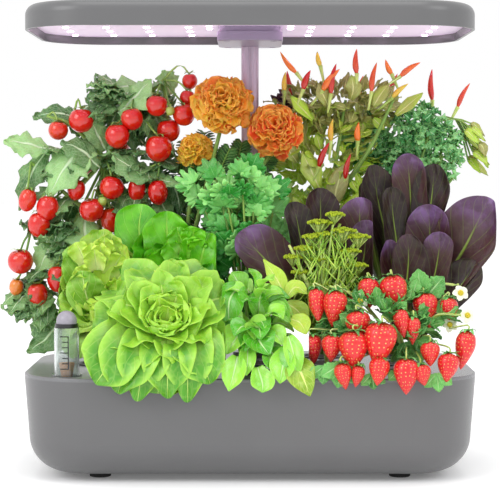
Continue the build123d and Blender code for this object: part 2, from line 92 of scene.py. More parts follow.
class GardenSizes(bpy.types.PropertyGroup):
    leaf_thickness: size("Leaf thickness", "Thickness of a lettuce leaf", 0.7)
    thin_leaf: size("Thin leaf", "Thickness of a herb leaf or petal", 0.45)
    stem_radius: size("Stem radius", "Radius of a main stem", 2.2)
    tick_height: size("Tick height", "Height of one mark on the level gauge", 0.8)
    lead_radius: size("Lead radius", "Radius of the pump's lead", 2.0)
    camera_distance: size("Camera distance", "From the middle of the garden to the camera", 1480)
    camera_height: size("Camera height", "Height of the camera above the floor", 253.5)
    camera_tilt: bpy.props.FloatProperty(
        name="Camera tilt", description="How far the camera looks down",
        default=math.radians(2.61), unit="ROTATION", subtype="ANGLE")


class GardenColours(bpy.types.PropertyGroup):
    housing: colour("Housing", "Moulded housing", "646465")
    housing_shade: colour("Housing shade", "Darker cloud in the moulded housing", "5D5D5E")
    # the mast's pink tint is painted light from the lilac grow lamp
    mast: colour("Mast", "Anodised mast", "D2BAC8")
    # the bracket's lilac is painted light from the lamp above it
    bracket: colour("Bracket", "Lamp bracket", "8E7F96")
    # glow and panel are the lamps' light painted onto the sheet round them: a faint glow and a
    # pink tint
    glow: colour("Lamp glow", "Light of the growing lamp", "F0CFFF")
    panel: colour("Lamp panel", "Sheet that holds the lamps", "D8C4D6")
    floor: colour("Floor", "Studio floor", "FBFBFB")
    ripe: colour("Ripe tomato", "Skin of a ripe tomato", "D3150F")
    berry: colour("Ripe berry", "Skin of a ripe strawberry", "DA1620")


# ---------------------------------------------------------------- finishes

def add(mat, kind, inputs=None, **settings):
    """Adds a node, with its own settings and with numbers or links for its inputs."""
    node = mat.node_tree.nodes.new(kind)
    for key, value in settings.items():
        setattr(node, key, value)
    for key, value in (inputs or {}).items():
        if isinstance(value, bpy.types.NodeSocket):
            mat.node_tree.links.new(value, node.inputs[key])
        elif hasattr(value, "__len__") and len(value) == 3 and node.inputs[key].type == "RGBA":
            node.inputs[key].default_value = (*value, 1.0)
        else:
            node.inputs[key].default_value = value
    return node


def new_finish(name, **shader):
    """A material with a Principled shader; returns it and the shader."""
    mat = bpy.data.materials.new(name)
    mat.use_nodes = True
    skin = mat.node_tree.nodes["Principled BSDF"]
    for key, value in shader.items():
        socket = skin.inputs[key.replace("_", " ")]
        if socket.type == "RGBA":
            socket.default_value = (*value, 1.0)
        else:
            socket.default_value = value
    return mat, skin


def blend_colours(mat, share, low, high):
    """Colour between low and high by share."""
    mix = add(mat, "ShaderNodeMix", {0: share, 6: low, 7: high}, data_type="RGBA")
    return mix.outputs[2]


def span(mat, value, low, high, to_low=0.0, to_high=1.0):
    """Smoothly maps a value from low..high to to_low..to_high."""
    ramp = add(mat, "ShaderNodeMapRange", {"Value": value, "From Min": low, "From Max": high,
                                           "To Min": to_low, "To Max": to_high},
               interpolation_type="SMOOTHSTEP")
    return ramp.outputs["Result"]


def reckon(mat, kind, first, second=0.0):
    """One sum with two numbers or links."""
    return add(mat, "ShaderNodeMath", {0: first, 1: second}, operation=kind).outputs[0]


def roughen(mat, skin, height, strength, depth_mm):
    """Raises the surface by a height without changing its shape."""
    bump = add(mat, "ShaderNodeBump", {"Height": height, "Strength": strength,
                                       "Distance": depth_mm * MM})
    mat.node_tree.links.new(bump.outputs[0], skin.inputs["Normal"])


def moulded(name, pale, dark, grain_mm, rough, depth_mm=0.05, coat=0.0, **more):
    """Moulded plastic: faint clouds of colour, a fine spark-eroded grain and soft gloss."""
    mat, skin = new_finish(name, Coat_Weight=coat, Coat_Roughness=0.25, **more)
    where = add(mat, "ShaderNodeTexCoord").outputs["Object"]
    cloud = add(mat, "ShaderNodeTexNoise", {"Vector": where, "Scale": 14.0, "Detail": 3.0})
    grain = add(mat, "ShaderNodeTexNoise", {"Vector": where, "Scale": 1 / (grain_mm * MM),
                                            "Detail": 4.0})
    mat.node_tree.links.new(blend_colours(mat, cloud.outputs[0], dark, pale),
                            skin.inputs["Base Color"])
    mat.node_tree.links.new(span(mat, grain.outputs[0], 0.3, 0.7, rough - 0.05, rough + 0.06),
                            skin.inputs["Roughness"])
    roughen(mat, skin, grain.outputs[0], 0.35, depth_mm)
    return mat


def brushed(name, pale, dark, rough, metallic=1.0):
    """Brushed metal: fine lines along the mast, a dull gleam across them."""
    mat, skin = new_finish(name, Metallic=metallic)
    where = add(mat, "ShaderNodeTexCoord").outputs["Object"]
    drawn = add(mat, "ShaderNodeMapping", {"Vector": where, "Scale": (1.0, 1.0, 0.02)})
    lines = add(mat, "ShaderNodeTexNoise", {"Vector": drawn.outputs[0],
                                            "Scale": 1 / (0.5 * MM), "Detail": 3.0})
    mat.node_tree.links.new(blend_colours(mat, lines.outputs[0], dark, pale),
                            skin.inputs["Base Color"])
    mat.node_tree.links.new(span(mat, lines.outputs[0], 0.3, 0.7, rough - 0.08, rough + 0.1),
                            skin.inputs["Roughness"])
    roughen(mat, skin, lines.outputs[0], 0.25, 0.03)
    return mat


def leaf_finish(name, deep, fresh, vein, rib=0.09, veins=6.0, slant=0.9, vein_share=0.6,
                net_mm=5.0, net_share=0.35, depth_mm=0.5, rough=0.42, coat=0.0,
                base=None, base_from=0.1, base_to=0.45, edge=None, tip=None, sheen=0.0,
                sheen_colour=(1, 1, 1), light_through=0.12):
    """Leaf skin: waxy, with a pale midrib, side veins and blisters between fine veins.

    The leaf's own map runs across it in U and from stalk to tip in V."""
    mat, skin = new_finish(name, Roughness=rough, Coat_Weight=coat, Coat_Roughness=0.2,
                           Subsurface_Weight=light_through, Subsurface_Scale=0.002,
                           Sheen_Weight=sheen, Sheen_Roughness=0.4, Sheen_Tint=sheen_colour)
    place = add(mat, "ShaderNodeTexCoord")
    where, own = place.outputs["Object"], place.outputs["UV"]
    split = add(mat, "ShaderNodeSeparateXYZ", {0: own})
    along = split.outputs[1]
    across = reckon(mat, "ABSOLUTE", reckon(mat, "SUBTRACT", split.outputs[0], 0.5))
    tone = add(mat, "ShaderNodeAttribute", attribute_name="tone").outputs["Fac"]
    # midrib narrows towards the tip
    rib_width = span(mat, along, 0.0, 1.0, rib * 1.5, rib * 0.3)
    rib_line = reckon(mat, "SUBTRACT", 1.0, reckon(mat, "DIVIDE", across, rib_width))
    rib_line = span(mat, rib_line, 0.0, 0.7)
    leaning = reckon(mat, "SUBTRACT", reckon(mat, "MULTIPLY", along, veins),
                     reckon(mat, "MULTIPLY", across, veins * slant))
    to_vein = reckon(mat, "PINGPONG", leaning, 0.5)
    side_line = span(mat, to_vein, 0.0, 0.085, 1.0, 0.0)
    net = add(mat, "ShaderNodeTexVoronoi", {"Vector": where, "Scale": 1 / (net_mm * MM)},
              feature="DISTANCE_TO_EDGE")
    net_line = span(mat, net.outputs["Distance"], 0.0, 0.16, 1.0, 0.0)
    cloud = add(mat, "ShaderNodeTexNoise", {"Vector": where, "Scale": 70.0, "Detail": 3.0})
    share = reckon(mat, "ADD", reckon(mat, "MULTIPLY", cloud.outputs[0], 0.9), tone)
    share = span(mat, share, 0.45, 1.35)
    skin_colour = blend_colours(mat, share, deep, fresh)
    if edge is not None:
        skin_colour = blend_colours(mat, span(mat, across, 0.28, 0.5, 0.0, 0.85),
                                    skin_colour, edge)
    # lilac towards the tip in cloudy patches: partly the leaf's own purple, partly a painted
    # sheen
    if tip is not None:
        tip_purple_and_sheen = reckon(mat, "MULTIPLY", span(mat, along, 0.62, 0.95), span(
            mat, cloud.outputs[0], 0.4, 0.62, 0.35, 1.0))
        skin_colour = blend_colours(mat, reckon(mat, "MULTIPLY", tip_purple_and_sheen, span(
            mat, tone, 0.35, 0.75)), skin_colour, tip)
    if base is not None:
        stalk = reckon(mat, "SUBTRACT", 1.0, reckon(mat, "ADD", along, reckon(
            mat, "MULTIPLY", across, 0.7)))
        stalk = span(mat, stalk, 1 - base_to, 1 - base_from)
        skin_colour = blend_colours(mat, stalk, skin_colour, base)
    if tip is not None:
        rib_line = reckon(mat, "MULTIPLY", rib_line, span(mat, along, 0.45, 0.8, 1.0, 0.12))
    lines = reckon(mat, "MAXIMUM", rib_line, reckon(mat, "MAXIMUM", reckon(
        mat, "MULTIPLY", side_line, vein_share), reckon(mat, "MULTIPLY", net_line, net_share)))
    mat.node_tree.links.new(blend_colours(mat, lines, skin_colour, vein),
                            skin.inputs["Base Color"])
    fine = add(mat, "ShaderNodeTexNoise", {"Vector": where, "Scale": 500.0, "Detail": 2.0})
    height = reckon(mat, "SUBTRACT", reckon(mat, "MULTIPLY", fine.outputs[0], 0.25), lines)
    roughen(mat, skin, height, 0.6, depth_mm)
    return mat


def fruit_finish(name, low, mid, high, rough=0.16, coat=0.6, seeds=None):
    """Fruit skin coloured by its ripeness; seeds are set in dimples in rows round it."""
    mat, skin = new_finish(name, Roughness=rough, Coat_Weight=coat, Coat_Roughness=0.12,
                           Subsurface_Weight=0.1, Subsurface_Scale=0.003)
    place = add(mat, "ShaderNodeTexCoord")
    where = place.outputs["Object"]
    tone = add(mat, "ShaderNodeAttribute", attribute_name="tone").outputs["Fac"]
    cloud = add(mat, "ShaderNodeTexNoise", {"Vector": where, "Scale": 90.0, "Detail": 2.0})
    ripe = reckon(mat, "ADD", tone, reckon(mat, "MULTIPLY", reckon(
        mat, "SUBTRACT", cloud.outputs[0], 0.5), 0.35))
    ramp = add(mat, "ShaderNodeValToRGB", {"Fac": ripe})
    ramp.color_ramp.elements[0].color = (*low, 1)
    ramp.color_ramp.elements[1].color = (*high, 1)
    middle = ramp.color_ramp.elements.new(0.5)
    middle.color = (*mid, 1)
    skin_colour, height = ramp.outputs[0], cloud.outputs[0]
    if seeds is not None:
        rows = add(mat, "ShaderNodeMapping", {"Vector": place.outputs["UV"],
                                              "Scale": (17.0, 13.0, 1.0)})
        cells = add(mat, "ShaderNodeTexVoronoi", {"Vector": rows.outputs[0], "Scale": 1.0,
                                                  "Randomness": 0.5}, voronoi_dimensions="2D")
        far = cells.outputs["Distance"]
        skin_colour = blend_colours(mat, span(mat, far, 0.08, 0.2, 0.75, 0.0), skin_colour,
                                    seeds)
        height = span(mat, far, 0.1, 0.5)
    mat.node_tree.links.new(skin_colour, skin.inputs["Base Color"])
    roughen(mat, skin, height, 0.5 if seeds is not None else 0.08, 0.8)
    return mat


def lamp_and_painted_glow_finish(name, shade, glow, strength):
    """A glowing cover, its glow in cloudy patches: the lit diodes, and the panel round them,
    whose glow is painted lamp light.
    """
    mat, skin = new_finish(name, Roughness=0.4, Base_Color=shade, Emission_Strength=strength)
    where = add(mat, "ShaderNodeTexCoord").outputs["Object"]
    cloud = add(mat, "ShaderNodeTexNoise", {"Vector": where, "Scale": 25.0, "Detail": 2.0})
    dim = tuple(c * 0.82 for c in glow)
    mat.node_tree.links.new(blend_colours(mat, cloud.outputs[0], dim, glow),
                            skin.inputs["Emission Color"])
    return mat


def clear_finish(name, tint, rough):
    """Clear acrylic tube: hard gloss that varies a little, with a faint grey-green tint."""
    mat, skin = new_finish(name, Base_Color=tint, Transmission_Weight=0.92, IOR=1.49)
    where = add(mat, "ShaderNodeTexCoord").outputs["Object"]
    wipe = add(mat, "ShaderNodeTexNoise", {"Vector": where, "Scale": 120.0, "Detail": 2.0})
    mat.node_tree.links.new(span(mat, wipe.outputs[0], 0.3, 0.8, rough, rough + 0.12),
                            skin.inputs["Roughness"])
    return mat


def foam_finish(name, pale, dark, pore_mm):
    """Open-cell foam: pale walls, with painted shade darkening the pores between them."""
    mat, skin = new_finish(name, Roughness=0.9)
    where = add(mat, "ShaderNodeTexCoord").outputs["Object"]
    pores = add(mat, "ShaderNodeTexVoronoi", {"Vector": where, "Scale": 1 / (pore_mm * MM)})
    # the dark colour in the pores is painted shade
    mat.node_tree.links.new(blend_colours(mat, span(mat, pores.outputs["Distance"], 0.1, 0.6),
                                          dark, pale), skin.inputs["Base Color"])
    roughen(mat, skin, pores.outputs["Distance"], 0.8, 0.8)
    return mat


def petal_finish(name):
    """Marigold petal: velvety, redder at its foot and paler gold along its crimped edge."""
    mat, skin = new_finish(name, Roughness=0.5, Sheen_Weight=0.08, Sheen_Tint=hue("FFD080"),
                           Subsurface_Weight=0.4, Subsurface_Scale=0.004)
    place = add(mat, "ShaderNodeTexCoord")
    split = add(mat, "ShaderNodeSeparateXYZ", {0: place.outputs["UV"]})
    tone = add(mat, "ShaderNodeAttribute", attribute_name="tone").outputs["Fac"]
    main = blend_colours(mat, tone, hue("FF5A1E"), hue("FFCC38"))
    tip = span(mat, split.outputs[1], 0.75, 1.0, 0.0, 0.75)
    shade = blend_colours(mat, span(mat, split.outputs[1], 0.0, 0.4), hue("F26420"), main)
    rim = blend_colours(mat, tip, shade, hue("FFB848"))
    streak = add(mat, "ShaderNodeTexWave", {"Vector": place.outputs["UV"], "Scale": 2.5,
                                            "Distortion": 1.0})
    mat.node_tree.links.new(blend_colours(mat, reckon(mat, "MULTIPLY", streak.outputs["Fac"],
                                                      0.1), rim, hue("E85A08")),
                            skin.inputs["Base Color"])
    roughen(mat, skin, streak.outputs["Fac"], 0.4, 0.3)
    return mat


# Every finish: what makes it, its colours and its numbers. A colour is an sRGB hex code or the
# name of one of the garden's own colours.
RECIPES = {
    # injection-moulded ABS: even satin grey
    "abs_moulded_grey": (moulded, "housing housing_shade", dict(
        grain_mm=0.9, rough=0.34, depth_mm=0.04, coat=0.15)),
    # the same plastic, painted a shade paler so that the deck's top edge shows a painted
    # highlight line
    "abs_deck_grey": (moulded, "757577 6E6E70", dict(
        grain_mm=0.9, rough=0.3, depth_mm=0.04, coat=0.2)),
    # the same grey plastic, with the lilac light of the lamp above it painted into its colour
    "abs_bracket_lilac": (moulded, "bracket 83768C", dict(
        grain_mm=0.9, rough=0.38, depth_mm=0.04, coat=0.1)),
    # black ABS: darker, a little glossier
    "abs_black": (moulded, "1C1C1F 151517", dict(
        grain_mm=0.8, rough=0.32, depth_mm=0.04, coat=0.2)),
    # polypropylene net pots: waxy and soft
    "polypropylene_black": (moulded, "26272A 1D1E20", dict(
        grain_mm=1.2, rough=0.5, depth_mm=0.06)),
    # rubber feet: matt with dust in the grain
    "rubber_black": (moulded, "1B1B1B 262525", dict(grain_mm=0.7, rough=0.75, depth_mm=0.08)),
    # soft PVC lead jacket
    "pvc_black": (moulded, "17181A 202124", dict(grain_mm=1.0, rough=0.45, depth_mm=0.03)),
    # painted buttons with a silky top
    "button_grey": (moulded, "C9CACC BFC0C3", dict(
        grain_mm=0.6, rough=0.3, depth_mm=0.02, coat=0.3)),
    # gauge cap: pale satin plastic
    "abs_lilac_cap": (moulded, "A29EA8 8F8A95", dict(
        grain_mm=0.7, rough=0.3, depth_mm=0.03, coat=0.3)),
    # drawn aluminium mast: long fine lines; its pink tint is painted light from the lilac lamp
    "anodised_aluminium": (brushed, "mast A99DB3", dict(rough=0.34, metallic=0.35)),
    # zinc-plated screws
    "zinc_steel": (brushed, "B9B9BC 8D8D90", dict(rough=0.3)),
    # clear acrylic gauge tube
    "acrylic_clear": (clear_finish, "EDF3F1", dict(rough=0.03)),
    # float and its marker: closed-cell foam
    "foam_amber": (foam_finish, "D98A2A A8600F", dict(pore_mm=0.9)),
    # dark peat sponge
    "growing_sponge": (foam_finish, "4A3A2B 20170F", dict(pore_mm=1.2)),
    # white sheet round the lamps, with their light painted on it: a pink tint and a faint glow
    "polycarbonate_panel": (lamp_and_painted_glow_finish, "panel glow", dict(strength=0.22)),
    # lit diode covers
    "led_lit": (lamp_and_painted_glow_finish, "FFF4FF FFD9FF", dict(strength=14.0)),
    # green board with solder mask
    "fr4_board": (moulded, "1F5A38 184A2D", dict(
        grain_mm=0.8, rough=0.3, depth_mm=0.02, coat=0.4)),
    # printed marks on the gauge
    "ink_dark": (moulded, "202326 2B2E31", dict(grain_mm=0.5, rough=0.6, depth_mm=0.01)),
    # painted board under the garden
    "studio_floor": (moulded, "floor F7F7F8", dict(
        grain_mm=6.0, rough=0.8, depth_mm=0.02, Emission_Color=(1, 1, 1),
        Emission_Strength=0.12)),
    # soft lettuce leaf: fresh green with a pale foot and a bright edge
    "butterhead_leaf": (leaf_finish, "4E9A14 A6D838 CDEB78", dict(
        rib=0.04, veins=5, slant=1.2, vein_share=0.22, net_mm=9, net_share=0.1, depth_mm=1.2,
        rough=0.4, coat=0.15, base="DDEB86", base_from=0.1, base_to=0.7, edge="A5DB48")),
    # paler, yellower lettuce leaf
    "side_lettuce_leaf": (leaf_finish, "7CB82C C6EA50 DEF29A", dict(
        rib=0.04, veins=5, slant=1.2, vein_share=0.3, net_mm=8, net_share=0.12, depth_mm=1.2,
        rough=0.45, coat=0.1, base="E6EFA0", base_from=0.15, base_to=0.7)),
    # deeper green lettuce leaf
    "green_lettuce_leaf": (leaf_finish, "2C9606 78D41A A2E050", dict(
        rib=0.04, veins=5, slant=1.1, vein_share=0.3, net_mm=9, net_share=0.08, depth_mm=1.2,
        rough=0.38, coat=0.15, base="B5E56B", base_from=0.1, base_to=0.6)),
    # dark leaf over a pale rib, lilac towards its tip: partly the leaf's own purple, partly a
    # painted sheen
    "romaine_leaf": (leaf_finish, "1B0808 3E1418 86A03C", dict(
        rib=0.035, veins=6, slant=0.9, vein_share=0.16, net_mm=9, net_share=0.03,
        depth_mm=1.3, rough=0.5, coat=0.04, base="86B320", base_from=0.1, base_to=0.5,
        tip="7C5A90", sheen=0.03, sheen_colour="C9A8F0", light_through=0.02)),
    # wrinkled leaf, pale veins over grey green
    "tomato_leaf": (leaf_finish, "3A6C2C 9CCB7E CBE4B8", dict(
        rib=0.045, veins=8, slant=1.0, vein_share=0.4, net_mm=4.0, net_share=0.16,
        depth_mm=1.2, rough=0.46)),
    # dark narrow leaflet
    "marigold_leaf": (leaf_finish, "1D4418 3F7A2A 6FA050", dict(
        rib=0.12, veins=4, net_mm=3, net_share=0.15, rough=0.45)),
    # olive to yellow-green blade
    "chilli_leaf": (leaf_finish, "9C9C56 B4DC34 D9DC94", dict(
        rib=0.06, veins=6, slant=0.8, vein_share=0.35, net_mm=4, net_share=0.1, rough=0.38,
        coat=0.15)),
    # young purple blade
    "chilli_leaf_purple": (leaf_finish, "3A2238 6A3F5E 8C6A86", dict(
        rib=0.06, veins=6, slant=0.8, vein_share=0.4, net_mm=4, net_share=0.15, rough=0.4)),
    # curled leaf, from deep to pale green
    "parsley_leaf": (leaf_finish, "2A8434 96D884 A6DCA4", dict(
        rib=0.08, veins=3, net_mm=3, net_share=0.1, rough=0.5)),
    # thin bright leaf
    "cilantro_leaf": (leaf_finish, "26962A A2EC84 92DA84", dict(
        rib=0.02, veins=4, slant=1.4, vein_share=0.4, net_mm=4, net_share=0.1, rough=0.42,
        coat=0.1)),
    # glossy spoon-shaped leaf
    "basil_leaf": (leaf_finish, "52B01C A8EA50 CCF0A0", dict(
        rib=0.045, veins=6, slant=0.9, vein_share=0.35, net_mm=6, net_share=0.08,
        depth_mm=1.0, rough=0.26, coat=0.4)),
    # yellower basil leaf
    "lime_leaf": (leaf_finish, "7FA81F B9DC3E E2F08A", dict(
        rib=0.05, veins=6, slant=0.9, vein_share=0.5, net_mm=6, net_share=0.15, depth_mm=0.7,
        rough=0.34, coat=0.2)),
    # fine feathery thread
    "dill_thread": (leaf_finish, "4E961A A2D238 C7E068", dict(
        rib=0.3, veins=3, net_mm=2, net_share=0.1, rough=0.5)),
    # beads of an umbel
    "dill_flower": (foam_finish, "B4C828 7C9A1C", dict(pore_mm=0.8)),
    # toothed leaf with sunken veins
    "strawberry_leaf": (leaf_finish, "2F7F2A 6DBB58 A8DB92", dict(
        rib=0.05, veins=8, slant=0.9, vein_share=0.6, net_mm=4, net_share=0.2, depth_mm=0.8,
        rough=0.42)),
    # hairy green stalk
    "stalk_green": (leaf_finish, "4D7A26 86AC4A A9C76C", dict(
        rib=0.2, veins=2, net_mm=2, net_share=0.2, depth_mm=0.2, rough=0.5)),
    # smooth pale stalk
    "stalk_pale": (leaf_finish, "8FAE3A C3D872 E0EBA4", dict(
        rib=0.2, veins=2, net_mm=2, net_share=0.2, depth_mm=0.2, rough=0.45)),
    # taut, waxed skin
    "tomato_skin": (fruit_finish, "9FBF5A EE6A1A ripe", {}),
    # dimpled skin with seeds
    "strawberry_skin": (fruit_finish, "E8863A E83028 berry", dict(
        rough=0.28, coat=0.35, seeds="F2C46A")),
    # thin glossy skin, yellow to red
    "chilli_skin": (fruit_finish, "D9C23A F07A1A C81A14", dict(rough=0.2, coat=0.5)),
    # thin white petal
    "petal_white": (moulded, "F4F6E4 E4EBC8", dict(grain_mm=1.5, rough=0.55, depth_mm=0.1)),
    # grainy yellow middle of a flower
    "flower_eye": (foam_finish, "E6D23A B79A1C", dict(pore_mm=0.7)),
    # velvety crimped petal
    "marigold_petal": (petal_finish, "", {}),
}
COLOUR_KEYS = ("base", "edge", "tip", "seeds", "sheen_colour")
FINISHES = {}


def finish(name):
    """Makes each finish from its recipe once, when the first piece asks for it."""
    if name not in FINISHES:
        tints = bpy.context.scene.garden_colours

        def paint(code):
            return getattr(tints, code) if hasattr(tints, code) else hue(code)
        make, colours, more = RECIPES[name]
        more = {key: paint(value) if key in COLOUR_KEYS else value
                for key, value in more.items()}
        FINISHES[name] = make(name, *map(paint, colours.split()), **more)
    return FINISHES[name]


# ---------------------------------------------------------------- growing tools

def clear_selection():
    if bpy.context.mode != "OBJECT":
        bpy.ops.object.mode_set(mode="OBJECT")
    bpy.ops.object.select_all(action="DESELECT")


def pattern_sheet(name, across, along):
    """A flat grid that leaves are shaped from, its own map running across and along."""
    clear_selection()
    bpy.ops.mesh.primitive_grid_add(x_subdivisions=across, y_subdivisions=along, size=1.0)
    sheet = bpy.context.object
    sheet.name = name
    sheet.data.attributes.new("tone", "FLOAT", "POINT")
    return sheet


def pattern_rod(name, sides, steps):
    """A rod that stems are shaped from, divided along its length."""
    clear_selection()
    bpy.ops.mesh.primitive_cylinder_add(vertices=sides, radius=1.0, depth=1.0)
    rod = bpy.context.object
    rod.name = name
    bpy.ops.object.mode_set(mode="EDIT")
    bpy.ops.mesh.select_mode(type="EDGE")
    bpy.ops.mesh.select_all(action="DESELECT")
    bpy.ops.object.mode_set(mode="OBJECT")
    for edge in rod.data.edges:
        a, b = (rod.data.vertices[i].co for i in edge.vertices)
        edge.select = abs(a.z - b.z) > 0.5
    bpy.ops.object.mode_set(mode="EDIT")
    bpy.ops.mesh.subdivide(number_cuts=steps)
    bpy.ops.object.mode_set(mode="OBJECT")
    rod.data.attributes.new("tone", "FLOAT", "POINT")
    return rod


def pattern_ball(name, segments, rings):
    """A ball that fruit are shaped from."""
    clear_selection()
    bpy.ops.mesh.primitive_uv_sphere_add(segments=segments, ring_count=rings, radius=1.0)
    ball = bpy.context.object
    ball.name = name
    ball.data.attributes.new("tone", "FLOAT", "POINT")
    return ball


def points_of(thing):
    co = np.empty(len(thing.data.vertices) * 3)
    thing.data.vertices.foreach_get("co", co)
    return co.reshape(-1, 3)


def unit(v):
    v = np.asarray(v, float)
    return v / max(1e-9, float(np.linalg.norm(v)))


def unit_rows(rows):
    """Scales each row to a length of one."""
    return rows / np.maximum(np.linalg.norm(rows, axis=1), 1e-6)[:, None]


def square_to(axis, hint):
    """Two ways that stand square to an axis and to each other."""
    side = unit(np.cross(axis, hint))
    return side, np.cross(axis, side)


def curve_at(points, t):
    """Smooth curve through the points; t runs from 0 to 1."""
    pts = np.asarray(points, float)
    if len(pts) == 2:
        return pts[0] + (pts[1] - pts[0]) * t[:, None]
    runs = len(pts) - 1
    pts = np.vstack([2 * pts[0] - pts[1], pts, 2 * pts[-1] - pts[-2]])
    s = np.clip(t * runs, 0, runs - 1e-6)
    i = s.astype(int)
    f = (s - i)[:, None]
    a, b, c, d = pts[i], pts[i + 1], pts[i + 2], pts[i + 3]
    return 0.5 * (2 * b + (c - a) * f + (2 * a - 5 * b + 4 * c - d) * f ** 2
                  + (3 * b - a - 3 * c + d) * f ** 3)


def direction_at(points, t):
    """The way that the curve through the points runs at t."""
    after = curve_at(points, np.clip(t + CURVE_STEP, 0, 1))
    return unit_rows(after - curve_at(points, np.clip(t - CURVE_STEP, 0, 1)))


class Bed:
    """Gathers the copies that make one piece, then joins and finishes them."""

    def __init__(self, name, seed):
        self.name = name
        self.luck = random.Random(seed)
        self.parts = []
        self.patterns = {}

    def pattern(self, kind, a, b):
        key = (kind, a, b)
        if key not in self.patterns:
            make = {"sheet": pattern_sheet, "rod": pattern_rod, "ball": pattern_ball}[kind]
            thing = make("pattern_" + kind, a, b)
            self.patterns[key] = (thing, points_of(thing))
        return self.patterns[key]

    def keep(self, pattern, co, skin, tone=None):
        """Keeps a copy of the pattern with its own mesh, in the given shape, skin and tone."""
        copy = pattern.copy()
        copy.data = pattern.data.copy()
        copy.data.vertices.foreach_set("co", (co * MM).ravel())
        if tone is None:
            tone = self.luck.random()
        copy.data.attributes["tone"].data.foreach_set("value", np.full(len(co), tone))
        copy.data.materials.clear()
        copy.data.materials.append(finish(skin))
        bpy.context.collection.objects.link(copy)
        self.parts.append(copy)

    def leaf(self, spine, widths, skin, face=TOWARD_FRONT, cup=0.12, ruffle=0.0, waves=4,
             teeth=0, tooth=0.0, point=0.8, blunt=0.12, wrinkle=0.0, tone=None,
             cells=(8, 12)):
        """A leaf along a spine. widths are its full widths at the same points.

        cup lifts its sides, ruffle waves its edge, teeth notch it, point is where its
        end starts to round off and blunt how wide its last row is."""
        pattern, flat = self.pattern("sheet", *cells)
        u, v = flat[:, 0] * 2, flat[:, 1] + 0.5
        v = 1 - (1 - v) ** 1.25             # rows lie closer together towards the tip
        bow = (1 - math.sqrt(1 - blunt ** 2)) * (1 - point)
        t = v - bow * u ** 2 * v ** 6       # the last rows fall back at their sides
        place, ahead = curve_at(spine, t), direction_at(spine, t)
        side = unit_rows(np.cross(ahead, unit(face)))
        up = np.cross(side, ahead)
        width = curve_at(np.array(widths, float)[:, None] * np.ones((1, 3)), v)[:, 0] / 2
        close = (np.clip(v - point, 0, None) / (1 - point)) ** 2
        close = np.sqrt(np.clip(1 - close * (1 - blunt ** 2), 0.0004, 1))
        width = np.maximum(width, 0.3) * close
        shift = self.luck.random() * TURN
        if teeth:
            width = width * (1 - tooth * np.abs(np.sin(v * teeth * math.pi)) * np.abs(u) ** 2)
        mean = float(np.mean(width))
        edge = np.abs(u) ** 2.2
        which = np.where(u < 0, 1.7, 0.0)
        wave = (np.sin(v * waves * TURN + shift + which)
                + 0.5 * np.sin(v * waves * 2.3 * TURN + shift * 2 + which * 2))
        lift = cup * width * u ** 2 + ruffle * edge * wave * np.clip(v * 3, 0, 1)
        end = np.clip((v - 0.75) / 0.25, 0, 1)
        lift = lift + ruffle * 0.8 * end ** 2 * np.sin(u * 4 + shift)
        if wrinkle:
            lift = lift + wrinkle * (np.sin(u * 7 + shift) * np.sin(v * 17 + shift)
                                     + 0.6 * np.sin(u * 13 + v * 9 + 2 * shift)) * (1 - edge)
        spread = 1 + 0.05 * np.sin(v * waves * TURN * 0.8 + shift) * min(1.0, mean / 8)
        co = place + side * (u * width * spread)[:, None] + up * lift[:, None]
        self.keep(pattern, co, skin, tone)

    def fan(self, base, toward, reach, skin, face=TOWARD_FRONT, lobes=3, depth=0.3, cup=0.2,
            spread=80, tone=None, cells=(8, 6), ruffle=0.0):
        """A fan-shaped leaf cut into lobes, from its foot towards a direction."""
        pattern, flat = self.pattern("sheet", *cells)
        u, v = flat[:, 0] * 2, flat[:, 1] + 0.5
        ahead = unit(toward)
        side = unit(np.cross(ahead, unit(face)))
        up = np.cross(side, ahead)
        angle = u * math.radians(spread)
        cut = 1 - depth * (1 - np.abs(np.sin((u + 1) * 0.5 * lobes * math.pi)) ** 0.6)
        far = reach * v * (1 - (1 - cut) * v) * (1 - 0.16 * np.abs(u))
        shift = self.luck.random() * TURN
        lift = cup * far * (np.abs(u) ** 2) + ruffle * v ** 2 * np.sin(u * 6 + shift)
        lift = lift - 0.12 * reach * v ** 2
        co = (np.asarray(base, float) + ahead * (far * np.cos(angle))[:, None]
              + side * (far * np.sin(angle))[:, None] + up * lift[:, None])
        self.keep(pattern, co, skin, tone)

    def stem(self, points, thick, thin, skin="stalk_green", sides=6, steps=9, tone=None):
        """A stem that tapers along a smooth curve."""
        pattern, rod = self.pattern("rod", sides, steps)
        t = rod[:, 2] + 0.5
        place, ahead = curve_at(points, t), direction_at(points, t)
        whole = unit(np.asarray(points[-1], float) - np.asarray(points[0], float))
        away = np.array((1.0, 0, 0)) if abs(whole[0]) < 0.8 else np.array((0, 1.0, 0))
        side = unit_rows(np.cross(ahead, away))
        up = np.cross(side, ahead)
        radius = thick + (thin - thick) * t
        co = place + side * (rod[:, 0] * radius)[:, None] + up * (rod[:, 1] * radius)[:, None]
        self.keep(pattern, co, skin, tone)

    def turned(self, pattern, co, centre, axis, skin, tone):
        """Keeps a shape made round Z, turned so that its Z follows the axis."""
        axis = unit(axis)
        side, fore = square_to(axis, (0.31, 0.95, 0.05))
        co = (np.asarray(centre, float) + co[:, :1] * side + co[:, 1:2] * fore
              + co[:, 2:] * axis)
        self.keep(pattern, co, skin, tone)

